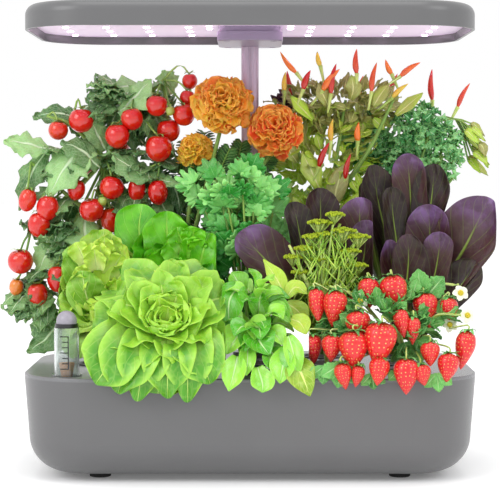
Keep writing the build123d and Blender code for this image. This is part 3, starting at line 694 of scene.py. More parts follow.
    def tomato(self, centre, wide, tall, ripeness):
        """A round fruit, drawn in a little where its stalk goes, under a star of sepals."""
        pattern, ball = self.pattern("ball", 20, 14)
        co = ball.copy()
        flat = np.hypot(co[:, 0], co[:, 1])
        top = np.clip((co[:, 2] - 0.55) / 0.45, 0, 1)
        co[:, 2] = co[:, 2] - 0.22 * top ** 2 * (1 - flat)
        turn = np.arctan2(co[:, 1], co[:, 0])
        co[:, :2] *= (1 + 0.02 * np.cos(turn * 5) * np.clip(co[:, 2], 0, 1))[:, None]
        co = co * (wide, wide, tall)
        lean = (self.luck.uniform(-0.25, 0.25), self.luck.uniform(-0.3, 0.1), 1)
        self.turned(pattern, co, centre, lean, "tomato_skin", ripeness)
        top = np.asarray(centre, float) + unit(lean) * tall * 0.9
        for k in range(5):
            a = k * TURN / 5 + self.luck.random() * 0.5
            out = np.array((math.cos(a), math.sin(a), 0))
            self.leaf([top, top + out * wide * 0.45 + (0, 0, 1.2),
                       top + out * wide * 0.85 + (0, 0, self.luck.uniform(-2, 3))],
                      [2.0, 2.4, 0.6], "stalk_green", face=(0, 0, 1), point=0.9,
                      cells=(2, 4), tone=0.9)

    def berry(self, centre, wide, tall):
        """A seeded cone-shaped berry that hangs from its leafy cap."""
        luck = self.luck
        pattern, ball = self.pattern("ball", 20, 16)
        t = np.clip((1 - ball[:, 2]) / 2, 0, 1)
        flat = np.maximum(np.hypot(ball[:, 0], ball[:, 1]), 1e-6)
        bulge = np.sin(np.pi * t ** 0.62) ** 0.75 * (1 - 0.18 * t)
        co = np.empty_like(ball)
        co[:, 0] = ball[:, 0] / flat * bulge * wide
        co[:, 1] = ball[:, 1] / flat * bulge * wide
        co[:, 2] = (0.5 - t) * 2 * tall
        lean = (luck.uniform(-0.22, 0.22), luck.uniform(-0.1, 0.35), 1)
        self.turned(pattern, co, centre, lean, "strawberry_skin", luck.uniform(0.75, 1.0))
        top = np.asarray(centre, float) + unit(lean) * tall * 0.97
        for k in range(9):
            a = k * TURN / 9 + luck.random() * 0.4
            out = np.array((math.cos(a), math.sin(a), 0))
            self.leaf([top, top + out * wide * 0.5 + (0, 0, luck.uniform(0.5, 2.5)),
                       top + out * wide * 0.95 + (0, 0, luck.uniform(-3, 3))],
                      [2.2, 3.4, 0.8], "strawberry_leaf", face=(0, 0, 1), point=0.85,
                      cells=(2, 5))
        return top

    def bead(self, centre, radius, skin, tone=0.5, cells=(6, 4)):
        """A small ball."""
        pattern, ball = self.pattern("ball", *cells)
        self.keep(pattern, ball * radius + np.asarray(centre, float), skin, tone)

    def gather(self, body, nodes, wall=None, smooth=0, keep_in=None, squash=None,
               deck=True):
        """Joins the copies into one piece, thickens it and sets it on its body.

        wall names the size that its leaves take as thickness, keep_in is the box that it
        stays in, and squash, when given, only gives the piece its own copy of its mesh; its
        value is not used."""
        clear_selection()
        for part in self.parts:
            part.select_set(True)
        bpy.context.view_layer.objects.active = self.parts[0]
        bpy.ops.object.join()
        piece = bpy.context.object
        piece.name = self.name
        piece.data.name = self.name
        for pattern, _ in self.patterns.values():
            bpy.data.objects.remove(pattern, do_unlink=True)
        co = points_of(piece)
        if deck:
            rest_on_deck(co)
        if keep_in is not None:
            low, high = np.array(keep_in[0]) * MM, np.array(keep_in[1]) * MM
            np.clip(co, low, high, out=co)
        piece.data.vertices.foreach_set("co", co.ravel())
        piece.data.update()
        if wall is not None:
            solid = piece.modifiers.new("thickness", "SOLIDIFY")
            solid.thickness, solid.offset = getattr(bpy.context.scene.garden_sizes, wall), 0.0
            bpy.ops.object.modifier_apply(modifier=solid.name)
        if smooth:
            soft = piece.modifiers.new("smooth", "SUBSURF")
            soft.levels = soft.render_levels = smooth
            bpy.ops.object.modifier_apply(modifier=soft.name)
        bpy.ops.object.shade_smooth()
        settle(piece, body, nodes)
        if squash is not None:
            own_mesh(piece)
        return piece


def rest_on_deck(co):
    """Lifts what would sink into the deck, and brings what hangs over the front before it."""
    y, z = co[:, 1], co[:, 2]
    low = DECK_TOP * MM - z
    sinks = low > 0
    hangs = sinks & (y < OVER_RIM)
    lies = sinks & ~hangs
    z[lies] += low[lies]
    y[hangs] = np.minimum(y[hangs], RIM_FRONT * MM)
    near = ~sinks & (low > -RIM_BEND) & (y < OVER_RIM)
    share = 1 + low[near] / RIM_BEND
    y[near] = y[near] + share * (np.minimum(y[near], RIM_FRONT * MM) - y[near])


def settle(piece, body, nodes):
    """Sets a finished piece on its body, for its nodes."""
    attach(piece, body)
    if nodes:
        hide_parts(*nodes)


def inside(luck, lump):
    """A random place in a lump, nearer its surface than its middle."""
    (x0, x1), (y0, y1), (z0, z1) = lump
    while True:
        p = [luck.uniform(-1, 1) for _ in range(3)]
        far = math.sqrt(sum(c * c for c in p))
        if 0.55 < far < 1.0:
            break
    return np.array(((x0 + x1) / 2 + p[0] * (x1 - x0) / 2, (y0 + y1) / 2 + p[1] * (y1 - y0) / 2,
                     (z0 + z1) / 2 + p[2] * (z1 - z0) / 2)), unit(p)


def outward(way, front=0.6):
    """Where a leaf at this side of its plant looks: out, up and a little to the front."""
    return unit(np.asarray(way, float) + np.array((0, -front, 0.6)))


def lettuce_head(bed, foot, axis, reach, count, skin, open_from, open_to, ruffle, cells,
                 squeeze=(1.0, 1.0, 1.0)):
    """Leaves round a heart: the outer ones lie open, the inner ones close over it."""
    axis = unit(axis)
    side = unit(np.cross((0.05, 0.0, 1.0) if abs(axis[2]) < 0.95 else (1.0, 0, 0), axis))
    fore = np.cross(axis, side)
    foot = np.asarray(foot, float)
    squeeze = np.asarray(squeeze, float)
    for i in range(count):
        k = i / (count - 1)
        a = i * GOLDEN_ANGLE + bed.luck.uniform(-0.15, 0.15)
        round_way = side * math.cos(a) + fore * math.sin(a)
        lean = math.radians(open_from + (open_to - open_from) * k ** 0.8)
        length = reach * (1 - 0.5 * k) * bed.luck.uniform(0.93, 1.05)

        def at(share, bend):
            way = round_way * math.sin(lean * bend) + axis * math.cos(lean * bend)
            return foot + way * length * share * squeeze + round_way * (1 - k) * 4
        tip = at(0.98, 1.12 if k < 0.6 else 0.75)
        waves = bed.luck.choice((3, 4, 5))
        tone = min(1.0, 0.15 + 0.8 * k + bed.luck.uniform(-0.1, 0.1))
        bed.leaf([foot + round_way * 3, at(0.42, 0.75), at(0.8, 0.95), tip],
                 [length * 0.3, length * 0.82, length, length * 0.86], skin,
                 face=axis - round_way * (0.35 + 0.9 * k), cup=0.3 + 0.5 * k,
                 ruffle=ruffle * (1 - 0.45 * k), waves=waves, point=0.5, blunt=0.6,
                 wrinkle=ruffle * 0.16, tone=tone, cells=cells)


def frills(bed, lump, count, skin, reach):
    """Small crumpled leaves that close over the heart of a loose lettuce."""
    for k in range(count):
        place, way = inside(bed.luck, lump)
        grow = unit(way * (0.7, 0.4, 0.5) + np.array((0, -0.25, 0.8)))
        long = reach * bed.luck.uniform(0.8, 1.2)
        bed.leaf([place - grow * long * 0.7, place, place + grow * long * 0.5],
                 [long * 0.7, long * 1.1, long * 1.2], skin, face=outward(way, 1.1), cup=0.5,
                 ruffle=3.2, waves=3, point=0.6, blunt=0.6, wrinkle=0.6,
                 tone=bed.luck.uniform(0.4, 1.0), cells=(10, 8))


# ---------------------------------------------------------------- operators

class GARDEN_OT_stage(bpy.types.Operator):
    """Set up the floor, the soft studio light and the camera"""
    bl_idname = "garden.stage"
    bl_label = "Stage"

    def execute(self, context):
        sizes = context.scene.garden_sizes
        clear_selection()
        # a hair under the feet, and reaching far behind the garden
        bpy.ops.mesh.primitive_circle_add(vertices=64, radius=9.0, fill_type="NGON",
                                          location=(0, 3.0, -0.0002))
        floor = context.object
        floor.name = "studio_floor"
        bpy.ops.object.transform_apply(location=True, rotation=False, scale=False)
        floor.data.materials.append(finish("studio_floor"))

        world = bpy.data.worlds.new("studio")
        world.use_nodes = True
        world.node_tree.nodes["Background"].inputs["Color"].default_value = (1, 1, 1, 1)
        world.node_tree.nodes["Background"].inputs["Strength"].default_value = 1.0
        context.scene.world = world
        context.scene.view_settings.view_transform = "Standard"

        # each soft box: its place, how far it tilts and turns, its size and its power
        for name, place, tilt, turn, wide, tall, power in (
                ("soft_box_left", (-1.5, -1.3, 1.3), 52, -48, 1.2, 1.2, 15),
                ("soft_box_right", (1.6, -1.2, 1.4), 50, 52, 1.0, 1.0, 9),
                ("soft_box_top", (0, -0.4, 2.0), 12, 0, 1.4, 1.0, 9)):
            bpy.ops.object.light_add(type="AREA", location=place,
                                     rotation=(math.radians(tilt), 0, math.radians(turn)))
            box = context.object
            box.name = name
            box.data.shape = "RECTANGLE"
            box.data.size, box.data.size_y, box.data.energy = wide, tall, power

        bpy.ops.object.camera_add(
            location=(0, -sizes.camera_distance, sizes.camera_height),
            rotation=(math.pi / 2 - sizes.camera_tilt, 0, 0))
        camera = context.object
        camera.data.sensor_width = SENSOR_MM
        camera.data.lens = SENSOR_MM * FOCAL_PIXELS / PICTURE_PIXELS
        camera.data.clip_start, camera.data.clip_end = 0.05, 60
        context.scene.camera = camera
        return {"FINISHED"}


class GARDEN_OT_housing(bpy.types.Operator):
    """Give the tank, deck, mast, hood, pots and pump their finishes"""
    bl_idname = "garden.housing"
    bl_label = "Housing finishes"

    def execute(self, context):
        wear = {
            "abs_moulded_grey": ("water_tank", "lamp_shell", "mast_socket"),
            "abs_deck_grey": ("grow_deck",),
            "abs_bracket_lilac": ("bracket_cover", "bracket_plinth"),
            "rubber_black": ("rubber_feet",),
            "abs_black": ("mast_bush", "control_pad", "power_inlet", "gauge_ring", "pump_body",
                          "pump_strainer"),
            "button_grey": ("power_button", "light_button", "pump_button", "pump_impeller"),
            "anodised_aluminium": ("lower_mast", "upper_mast"),
            "zinc_steel": ("bracket_screws",),
            "polycarbonate_panel": ("lamp_panel",),
            "led_lit": ("led_chips",),
            "fr4_board": ("circuit_boards",),
            "acrylic_clear": ("gauge_tube",),
            "abs_lilac_cap": ("gauge_cap",),
            "foam_amber": ("level_float",),
        }
        for finish_name, ends in (("polypropylene_black", ("_basket", "_baskets")),
                                  ("growing_sponge", ("_sponge", "_sponges"))):
            wear[finish_name] = [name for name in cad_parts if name.endswith(ends)]
        for finish_name, names in wear.items():
            for name in names:
                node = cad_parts[name]
                if not node.material_slots:
                    raise RuntimeError(name + " has no material slot")
                for slot in node.material_slots:
                    slot.material = finish(finish_name)
        return {"FINISHED"}


class GARDEN_OT_gauge_marks(bpy.types.Operator):
    """Print the scale of the water level gauge round its clear tube"""
    bl_idname = "garden.gauge_marks"
    bl_label = "Gauge marks"

    def execute(self, context):
        ticks, pitch, scale_foot = 7, 0.0044, 0.006
        tube_radius, ink_gap, ink_thickness = 10.3 * MM, 0.00015, 0.0002
        # degrees round the tube where marks start and end, and the line that joins them
        long_from, short_from, marks_to = 246, 256, 284
        line_from, line_to = 281, 285
        tick_height = context.scene.garden_sizes.tick_height
        low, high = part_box("gauge_tube")
        x, y = (low[0] + high[0]) / 2, (low[1] + high[1]) / 2
        radius = tube_radius + ink_gap
        parts = []

        def mark(bottom, top, from_turn, to_turn):
            clear_selection()
            bpy.ops.mesh.primitive_cylinder_add(vertices=72, radius=radius, depth=top - bottom,
                                                end_fill_type="NOTHING",
                                                location=(x, y, (bottom + top) / 2))
            band = context.object
            bpy.ops.object.transform_apply(location=True, rotation=False, scale=False)
            bpy.ops.object.mode_set(mode="EDIT")
            bpy.ops.mesh.select_mode(type="FACE")
            bpy.ops.mesh.select_all(action="DESELECT")
            bpy.ops.object.mode_set(mode="OBJECT")
            for face in band.data.polygons:
                a = math.degrees(math.atan2(face.center.y - y, face.center.x - x)) % 360
                face.select = not from_turn <= a <= to_turn
            bpy.ops.object.mode_set(mode="EDIT")
            bpy.ops.mesh.delete(type="FACE")
            bpy.ops.object.mode_set(mode="OBJECT")
            parts.append(band)
        foot = low[2] + scale_foot
        for k in range(ticks):
            bottom = foot + k * pitch
            mark(bottom, bottom + tick_height, short_from if k % 3 else long_from, marks_to)
        mark(foot, foot + (ticks - 1) * pitch + tick_height, line_from, line_to)
        clear_selection()
        for band in parts:
            band.select_set(True)
        context.view_layer.objects.active = parts[0]
        bpy.ops.object.join()
        marks = context.object
        marks.name = "gauge_marks"
        wall = marks.modifiers.new("ink", "SOLIDIFY")
        wall.thickness, wall.offset = ink_thickness, 1.0
        bpy.ops.object.modifier_apply(modifier=wall.name)
        marks.data.materials.clear()
        marks.data.materials.append(finish("ink_dark"))
        settle(marks, "deck", ())
        return {"FINISHED"}


class GARDEN_OT_pump_lead(bpy.types.Operator):
    """Run the pump's lead up the mast to the hood"""
    bl_idname = "garden.pump_lead"
    bl_label = "Pump lead"

    def execute(self, context):
        bed = Bed("pump_lead_cable", 3)
        radius = context.scene.garden_sizes.lead_radius / MM
        # the bend over the pump, and the riser in the mast, a hair thinner where they overlap
        bed.stem([(0, 68, 38), (0, 63, 42), (0, 60, 48), (0, 60, 62)], radius, radius,
                 "pvc_black", sides=12, steps=14)
        riser_radius = radius * 0.98
        bed.stem([(0, 60, 60), (0, 60, 380)], riser_radius, riser_radius, "pvc_black",
                 sides=12, steps=20)
        cable = bed.gather("deck", ("pump_lead",), deck=False)
        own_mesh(cable)
        return {"FINISHED"}


class GARDEN_OT_butterhead(bpy.types.Operator):
    """Grow the big butterhead lettuce that hangs over the front"""
    bl_idname = "garden.butterhead"
    bl_label = "Butterhead lettuce"

    def execute(self, context):
        bed = Bed("butterhead_head", 11)
        skin = "butterhead_leaf"
        wide = (12, 10)
        lettuce_head(bed, (-69, -78, 122), (0.02, -0.8, 0.6), reach=60, count=34, skin=skin,
                     open_from=88, open_to=14, ruffle=5.0, cells=wide,
                     squeeze=(1.05, 0.75, 1.0))
        # leaves at the back and sides of the plant
        for k in range(12):
            a = math.radians(10 + k * 31)
            out = np.array((math.cos(a), math.sin(a) * 0.55, 0))
            foot = np.array((-69, -62, 100))
            bed.leaf([foot, foot + out * 26 + (0, 0, 14), foot + out * 50 + (0, 0, 26),
                      foot + out * 60 + (0, 0, 20)], [18, 46, 52, 34], skin, face=(0, -0.3, 1),
                     ruffle=4, waves=4, point=0.5, blunt=0.6, wrinkle=0.6, cells=wide)
        # leaves that hang over the rim
        for foot_x, mid_x, tip_x, tip_z, span_mm in (
                (-76, -104, -124, 84, 46), (-74, -92, -106, 76, 46), (-70, -82, -90, 70, 40),
                (-68, -66, -66, 72, 42), (-66, -50, -50, 69, 38), (-64, -40, -32, 84, 38)):
            bed.leaf([(foot_x, -68, 116), (mid_x, -104, 118), ((mid_x + tip_x) / 2, -118, 98),
                      (tip_x, -120, tip_z)], [22, span_mm, span_mm + 4, span_mm * 0.6], skin,
                     face=(0, -1, 0.4), cup=0.15, ruffle=4.4, waves=4, point=0.5, blunt=0.6,
                     wrinkle=0.7, tone=0.0, cells=wide)
        bed.gather("butterhead_pod", ("butterhead",), "leaf_thickness", smooth=1,
                   keep_in=((-139, -126, 64), (-20, -28, 182)))
        return {"FINISHED"}


class GARDEN_OT_green_lettuce(bpy.types.Operator):
    """Grow the green lettuce behind the butterhead"""
    bl_idname = "garden.green_lettuce"
    bl_label = "Green lettuce"

    def execute(self, context):
        bed = Bed("green_lettuce_head", 12)
        skin = "green_lettuce_leaf"
        wide = (12, 12)
        lettuce_head(bed, (-64, 0, 124), (0.15, -0.5, 0.86), reach=84, count=32, skin=skin,
                     open_from=66, open_to=8, ruffle=7.0, cells=wide, squeeze=(0.6, 0.42, 1.0))
        # the big leaves: four points and widths, then cup, ruffle, waves, wrinkle and tone
        for spine, widths, cup, ruffle, waves, wrinkle, tone in (
                ([(-66, 4, 108), (-88, 10, 168), (-97, 12, 200), (-94, 14, 226)],
                 [16, 42, 50, 46], 0.25, 2.4, 2, 0.0, 0.5),
                ([(-66, 2, 108), (-70, 4, 170), (-72, 2, 198), (-72, 2, 220)],
                 [16, 38, 44, 40], 0.3, 5.0, 4, 0.9, 0.6),
                ([(-64, -2, 108), (-46, -12, 164), (-40, -18, 186), (-35, -14, 202)],
                 [16, 34, 38, 34], 0.3, 4.0, 4, 0.0, 0.5),
                ([(-64, -4, 108), (-42, -22, 142), (-34, -27, 160), (-30, -27, 176)],
                 [16, 32, 36, 30], 0.3, 4.0, 4, 0.0, 0.3)):
            bed.leaf(spine, widths, skin, cup=cup, ruffle=ruffle, waves=waves, point=0.6,
                     blunt=0.5, wrinkle=wrinkle, tone=tone, cells=wide)
        frills(bed, ((-68, -36), (-28, 4), (156, 204)), 20, skin, 17)
        bed.gather("green_lettuce_pod", ("green_lettuce",), "leaf_thickness",
                   smooth=1, keep_in=((-118, -31, 89), (-29, 31, 229)))
        return {"FINISHED"}


class GARDEN_OT_side_lettuce(bpy.types.Operator):
    """Grow the pale lettuce at the left"""
    bl_idname = "garden.side_lettuce"
    bl_label = "Side lettuce"

    def execute(self, context):
        bed = Bed("side_lettuce_head", 13)
        skin = "side_lettuce_leaf"
        wide = (12, 12)
        lettuce_head(bed, (-130, 0, 114), (-0.08, -0.55, 0.85), reach=76, count=32, skin=skin,
                     open_from=70, open_to=8, ruffle=6.5, cells=wide, squeeze=(0.6, 0.48, 1.0))
        for mid, tip, span_mm in (((-150, -22, 140), (-161, -26, 152), 38),
                                  ((-146, -8, 168), (-156, -8, 190), 34),
                                  ((-130, 0, 182), (-126, 4, 204), 38),
                                  ((-118, -16, 164), (-109, -14, 192), 32),
                                  ((-140, -24, 148), (-143, -27, 170), 38)):
            bed.leaf([(-130, 0, 108), (-134, -8, 126), mid, tip],
                     [15, span_mm * 0.7, span_mm, span_mm * 0.9], skin, cup=0.3, ruffle=5.5,
                     waves=5, point=0.6, blunt=0.5, wrinkle=1.1, cells=wide)
        frills(bed, ((-152, -106), (-28, 0), (142, 196)), 20, skin, 17)
        bed.gather("side_lettuce_pod", ("side_lettuce",), "leaf_thickness",
                   smooth=1, keep_in=((-163, -31, 89), (-97, 31, 209)))
        return {"FINISHED"}


class GARDEN_OT_romaines(bpy.types.Operator):
    """Grow the two red romaine lettuces"""
    bl_idname = "garden.romaines"
    bl_label = "Red romaines"

    def execute(self, context):
        # each leaf: three points above its foot, then its widths
        left = (
            ((38, -27, 154), (12, -31, 180), (-9, -30, 203), (14, 36, 50, 20)),
            ((47, -10, 178), (41, -12, 208), (36, -10, 228), (12, 21, 27, 14)),
            ((62, 4, 177), (61, 2, 220), (61, 4, 240), (12, 24, 31, 16)),
            ((86, -10, 169), (94, -14, 208), (93, -12, 232), (12, 30, 38, 18)),
            ((92, -22, 161), (98, -24, 187), (100, -24, 213), (14, 30, 31, 12)),
            ((57, 16, 176), (60, 22, 206), (63, 24, 226), (12, 24, 31, 14)),
            ((74, 16, 167), (76, 22, 198), (74, 24, 217), (12, 22, 27, 14)),
            ((44, 12, 159), (36, 16, 181), (32, 18, 196), (12, 24, 31, 14)),
            ((58, 24, 150), (52, 27, 178), (50, 27, 200), (12, 24, 31, 14)),
            ((84, 20, 150), (90, 25, 178), (92, 26, 196), (12, 24, 31, 14)),
            ((70, -24, 138), (72, -28, 160), (70, -27, 182), (12, 24, 29, 12)),
        )
        right = (
            ((165, -10, 156), (188, -14, 195), (205, -12, 232), (16, 42, 58, 24)),
            ((141, 16, 194), (140, 18, 242), (137, 18, 270), (12, 27, 32, 14)),
            ((152, 12, 194), (159, 12, 233), (161, 12, 261), (12, 27, 34, 14)),
            ((121, 14, 185), (112, 18, 229), (107, 18, 260), (12, 28, 36, 16)),
            ((111, 20, 176), (104, 22, 220), (102, 22, 246), (12, 24, 29, 12)),
            ((129, 4, 177), (124, 4, 216), (122, 4, 241), (12, 24, 27, 12)),
            ((133, -20, 144), (135, -26, 179), (134, -26, 201), (12, 24, 28, 14)),
            ((152, -20, 144), (160, -26, 179), (162, -26, 203), (12, 24, 30, 14)),
            ((162, -22, 136), (180, -26, 157), (193, -26, 178), (12, 28, 36, 18)),
            ((126, -14, 144), (121, -19, 174), (119, -20, 196), (12, 22, 22, 12)),
            ((151, 2, 160), (156, 0, 195), (154, 0, 226), (14, 32, 42, 22)),
            ((150, 22, 160), (158, 26, 196), (166, 26, 230), (12, 28, 36, 16)),
            ((122, 24, 160), (116, 26, 196), (112, 26, 224), (12, 28, 34, 16)),
            ((140, 25, 160), (142, 27, 200), (146, 27, 236), (12, 28, 34, 16)),
        )
        for name, foot, leaves, box, squeeze in (
                ("left_romaine", (65, 0, 108), left, ((-13, -36, 89), (104, 31, 243)), None),
                ("right_romaine", (133, 0, 108), right, ((96, -31, 89), (209, 31, 272)), 0.79)):
            bed = Bed(name + "_head", len(name))
            for mid, far, tip, widths in leaves:
                start = np.array(foot) + (np.array(mid) - np.array(foot)) * 0.12
                start[2] = foot[2]
                away = unit((far[0] - foot[0], far[1] - foot[1], 0.01))
                front = -0.9 if far[1] < 20 else 0.5
                full = widths[2]
                bed.leaf([start, mid, far, tip], (widths[0], widths[1], full, full * 1.04),
                         "romaine_leaf", face=(-0.45 * away[0], front, 0.35), cup=0.34,
                         ruffle=1.3, waves=2, point=0.66, blunt=0.34, wrinkle=0.7,
                         cells=(12, 18))
            # the short leaves round its foot
            for k in range(9):
                a = k * GOLDEN_ANGLE
                out = np.array((math.cos(a), math.sin(a), 0))
                low = np.array(foot, float)
                bed.leaf([low + out * 3, low + out * 14 + (0, 0, 22),
                          low + out * 24 + (0, 0, 38), low + out * 28 + (0, 0, 48)],
                         [12, 20, 26, 14], "romaine_leaf", face=-out + (0, 0, 0.5), cup=0.4,
                         ruffle=2, waves=3, point=0.5, blunt=0.6, cells=(10, 10))
            bed.gather(name + "_pod", (name,), "leaf_thickness", smooth=1,
                       keep_in=box, squash=squeeze)
        return {"FINISHED"}


class GARDEN_OT_cilantro(bpy.types.Operator):
    """Grow the cilantro in the middle"""
    bl_idname = "garden.cilantro"
    bl_label = "Cilantro"

    def execute(self, context):
        bed = Bed("cilantro_plant", 14)
        luck = bed.luck
        foot = np.array((0.0, 0.0, 90.0))
        lumps = [((-32, 26), (-14, 26), (122, 256))] * 3 + [((-54, 26), (-20, 24), (218, 258))]
        for k in range(130):
            place, way = inside(luck, lumps[k % 4])
            if place[2] < 150 and luck.random() < 0.3:
                place[2] += 60
            look = outward(way, 0.9)
            knee = foot + (place - foot) * 0.5 + np.array((0, 0, 12))
            if k % 3 == 0:
                bed.stem([foot + (luck.uniform(-4, 4), luck.uniform(-4, 4), 0), knee, place],
                         1.1, 0.7, sides=5, steps=6)
            grow = unit(way * (1, 1, 0.4) + np.array((0, 0, 0.7)))
            reach = luck.uniform(11, 16)
            across = unit(np.cross(grow, look))
            shade = luck.random()
            for turn in (-0.95, 0, 0.95):
                lean = unit(grow + across * turn)
                bed.fan(place + lean * 2.5, lean, reach * (1.15 if turn == 0 else 0.85),
                        "cilantro_leaf", face=look, lobes=luck.choice((3, 4, 5)), depth=0.5,
                        spread=62, cup=0.2, ruffle=1.6, tone=shade, cells=(16, 5))
        bed.gather("cilantro_pod", ("cilantro",), "thin_leaf",
                   keep_in=((-66, -31, 89), (44, 31, 270)), squash=0.79)
        return {"FINISHED"}


class GARDEN_OT_tomato(bpy.types.Operator):
    """Grow the tomato plant with its trusses"""
    bl_idname = "garden.tomato"
    bl_label = "Tomato"

    def execute(self, context):
        bed = Bed("tomato_foliage", 15)
        luck = bed.luck
        trunk = [(-130, 60, 88), (-132, 60, 150), (-136, 62, 210), (-130, 64, 265),
                 (-102, 66, 312), (-78, 62, 336)]
        bed.stem(trunk, 3.0, 1.4, steps=16)
        limbs = (
            [(-132, 60, 150), (-166, 54, 178), (-196, 46, 200)],
            [(-136, 62, 210), (-168, 56, 236), (-196, 52, 262)],
            [(-134, 62, 225), (-102, 52, 238), (-80, 46, 262)],
            [(-130, 64, 265), (-160, 60, 295), (-182, 58, 304)],
            [(-131, 60, 110), (-168, 48, 122), (-192, 42, 138)],
            [(-132, 62, 200), (-110, 52, 214), (-96, 46, 222)],
        )
        for limb in limbs:
            bed.stem(limb, 1.8, 1.1)

        def lobed(start, mid, tip, wide, way=TOWARD_FRONT, tone=None, cells=(10, 16)):
            bed.leaf([start, mid, tip], [wide * 0.4, wide * 1.2, wide * 0.3], "tomato_leaf",
                     face=way, cup=-0.12, ruffle=2.2, waves=3, teeth=4, tooth=0.34, point=0.7,
                     wrinkle=0.9, tone=tone, cells=cells)
        for start, mid, tip, wide in (
                ((-178, 48, 273), (-200, 44, 279), (-219, 42, 281), 30),
                ((-180, 54, 275), (-196, 50, 251), (-206, 46, 219), 24),
                ((-141, 48, 275), (-161, 40, 262), (-179, 37, 232), 46),
                ((-134, 44, 257), (-150, 38, 273), (-168, 38, 280), 32),
                ((-118, 56, 306), (-102, 50, 321), (-88, 48, 336), 32),
                ((-89, 70, 327), (-116, 74, 331), (-141, 74, 324), 26),
                ((-72, 66, 323), (-75, 64, 336), (-78, 62, 345), 24),
                ((-155, 72, 302), (-176, 74, 307), (-197, 74, 303), 26),
                ((-85, 44, 248), (-104, 38, 257), (-122, 38, 268), 32),
                ((-90, 48, 254), (-77, 44, 246), (-62, 42, 243), 18),
                ((-130, 60, 273), (-137, 56, 287), (-142, 54, 300), 28),
                ((-148, 56, 215), (-147, 44, 197), (-139, 38, 182), 34),
                ((-170, 56, 197), (-182, 50, 181), (-190, 48, 163), 30),
                ((-152, 60, 183), (-165, 58, 167), (-178, 54, 148), 30),
                ((-72, 58, 248), (-65, 56, 232), (-63, 56, 216), 20),
                ((-126, 56, 224), (-110, 56, 215), (-92, 54, 208), 26),
                ((-180, 44, 147), (-195, 40, 135), (-208, 38, 127), 26),
                ((-167, 46, 125), (-182, 42, 105), (-199, 38, 93), 28),
                ((-106, 74, 308), (-88, 78, 307), (-68, 80, 309), 26),
                ((-129, 76, 291), (-146, 84, 274), (-158, 86, 250), 36),
                ((-133, 74, 228), (-156, 82, 210), (-168, 86, 184), 36)):
            lobed(start, mid, tip, wide)
        lumps = (((-205, -78), (38, 84), (160, 305)), ((-152, -66), (54, 82), (285, 338)),
                 ((-214, -150), (36, 60), (96, 212)), ((-128, -66), (40, 80), (185, 305)))
        for k in range(210):
            place, way = inside(luck, lumps[k % 4])
            drop = unit(way + np.array((0, -0.1, -0.55)))
            start = place - drop * 13
            lobed(start, place + (0, 0, 3), place + drop * 14, luck.uniform(16, 26),
                  outward(way, 0.5), luck.uniform(0, 0.6), (8, 12))
            if k % 8 == 0:
                bed.stem([trunk[3], (np.array(trunk[3]) + start) / 2, start], 1.0, 0.8, steps=6)
        bed.gather("deck", ("tomato",), "leaf_thickness",
                   keep_in=((-223, 30, 88.5), (-54, 91, 349)), squash=0.55)

        fruit = Bed("tomato_fruit", 16)
        joints = trunk + [p for limb in limbs for p in limb]
        for x, y, z, wide, tall, ripe in (
                (-54, 58, 335, 7, 7.5, 1.0), (-56, 54, 320, 7, 7.5, 1.0),
                (-83, 46, 313, 10, 10, 1.0), (-59, 48, 305, 10, 10.5, 0.95),
                (-105, 44, 301, 10, 10.5, 1.0), (-151, 54, 300, 11.5, 11.5, 1.0),
                (-172, 56, 291, 9, 9, 0.95), (-118, 42, 286, 11, 11.5, 1.0),
                (-73, 54, 291, 10.5, 11, 1.0), (-81, 40, 275, 12, 12.5, 1.0),
                (-198, 42, 229, 8, 11, 0.95), (-180, 40, 222, 10, 12, 1.0),
                (-188, 42, 207, 10, 12, 1.0), (-155, 46, 238, 8, 10, 1.0),
                (-131, 38, 228, 4, 4.5, 0.0), (-71, 42, 308, 4, 4.5, 0.0),
                (-123, 42, 240, 11, 11, 1.0), (-141, 40, 220, 11, 11, 1.0),
                (-101, 46, 238, 8, 11, 1.0), (-82, 42, 236, 9, 12, 1.0),
                (-125, 50, 211, 9, 12, 0.95), (-112, 46, 205, 8, 13, 1.0),
                (-205, 44, 174, 11.5, 11.5, 1.0), (-171, 40, 159, 10, 13, 1.0),
                (-189, 38, 145, 9, 11, 0.95), (-209, 46, 151, 6.5, 8, 0.45),
                (-150, 82, 262, 10, 11, 1.0), (-120, 84, 280, 11, 11, 1.0),
                (-176, 80, 220, 10, 11, 0.9), (-100, 80, 236, 10, 11, 1.0)):
            fruit.tomato((x, y, z), wide, tall, ripe)
            hang = min(joints, key=lambda p: math.dist(p, (x, y, z + 26)))
            knee = (x * 0.6 + hang[0] * 0.4, y * 0.7 + hang[1] * 0.3, z + tall + 7)
            fruit.stem([(x, y, z + tall * 0.8), knee, hang], 0.8, 1.1, steps=6)
        fruit.gather("deck", ("tomato",),
                     keep_in=((-223, 24, 92), (-44, 95, 349)), squash=0.55)
        return {"FINISHED"}


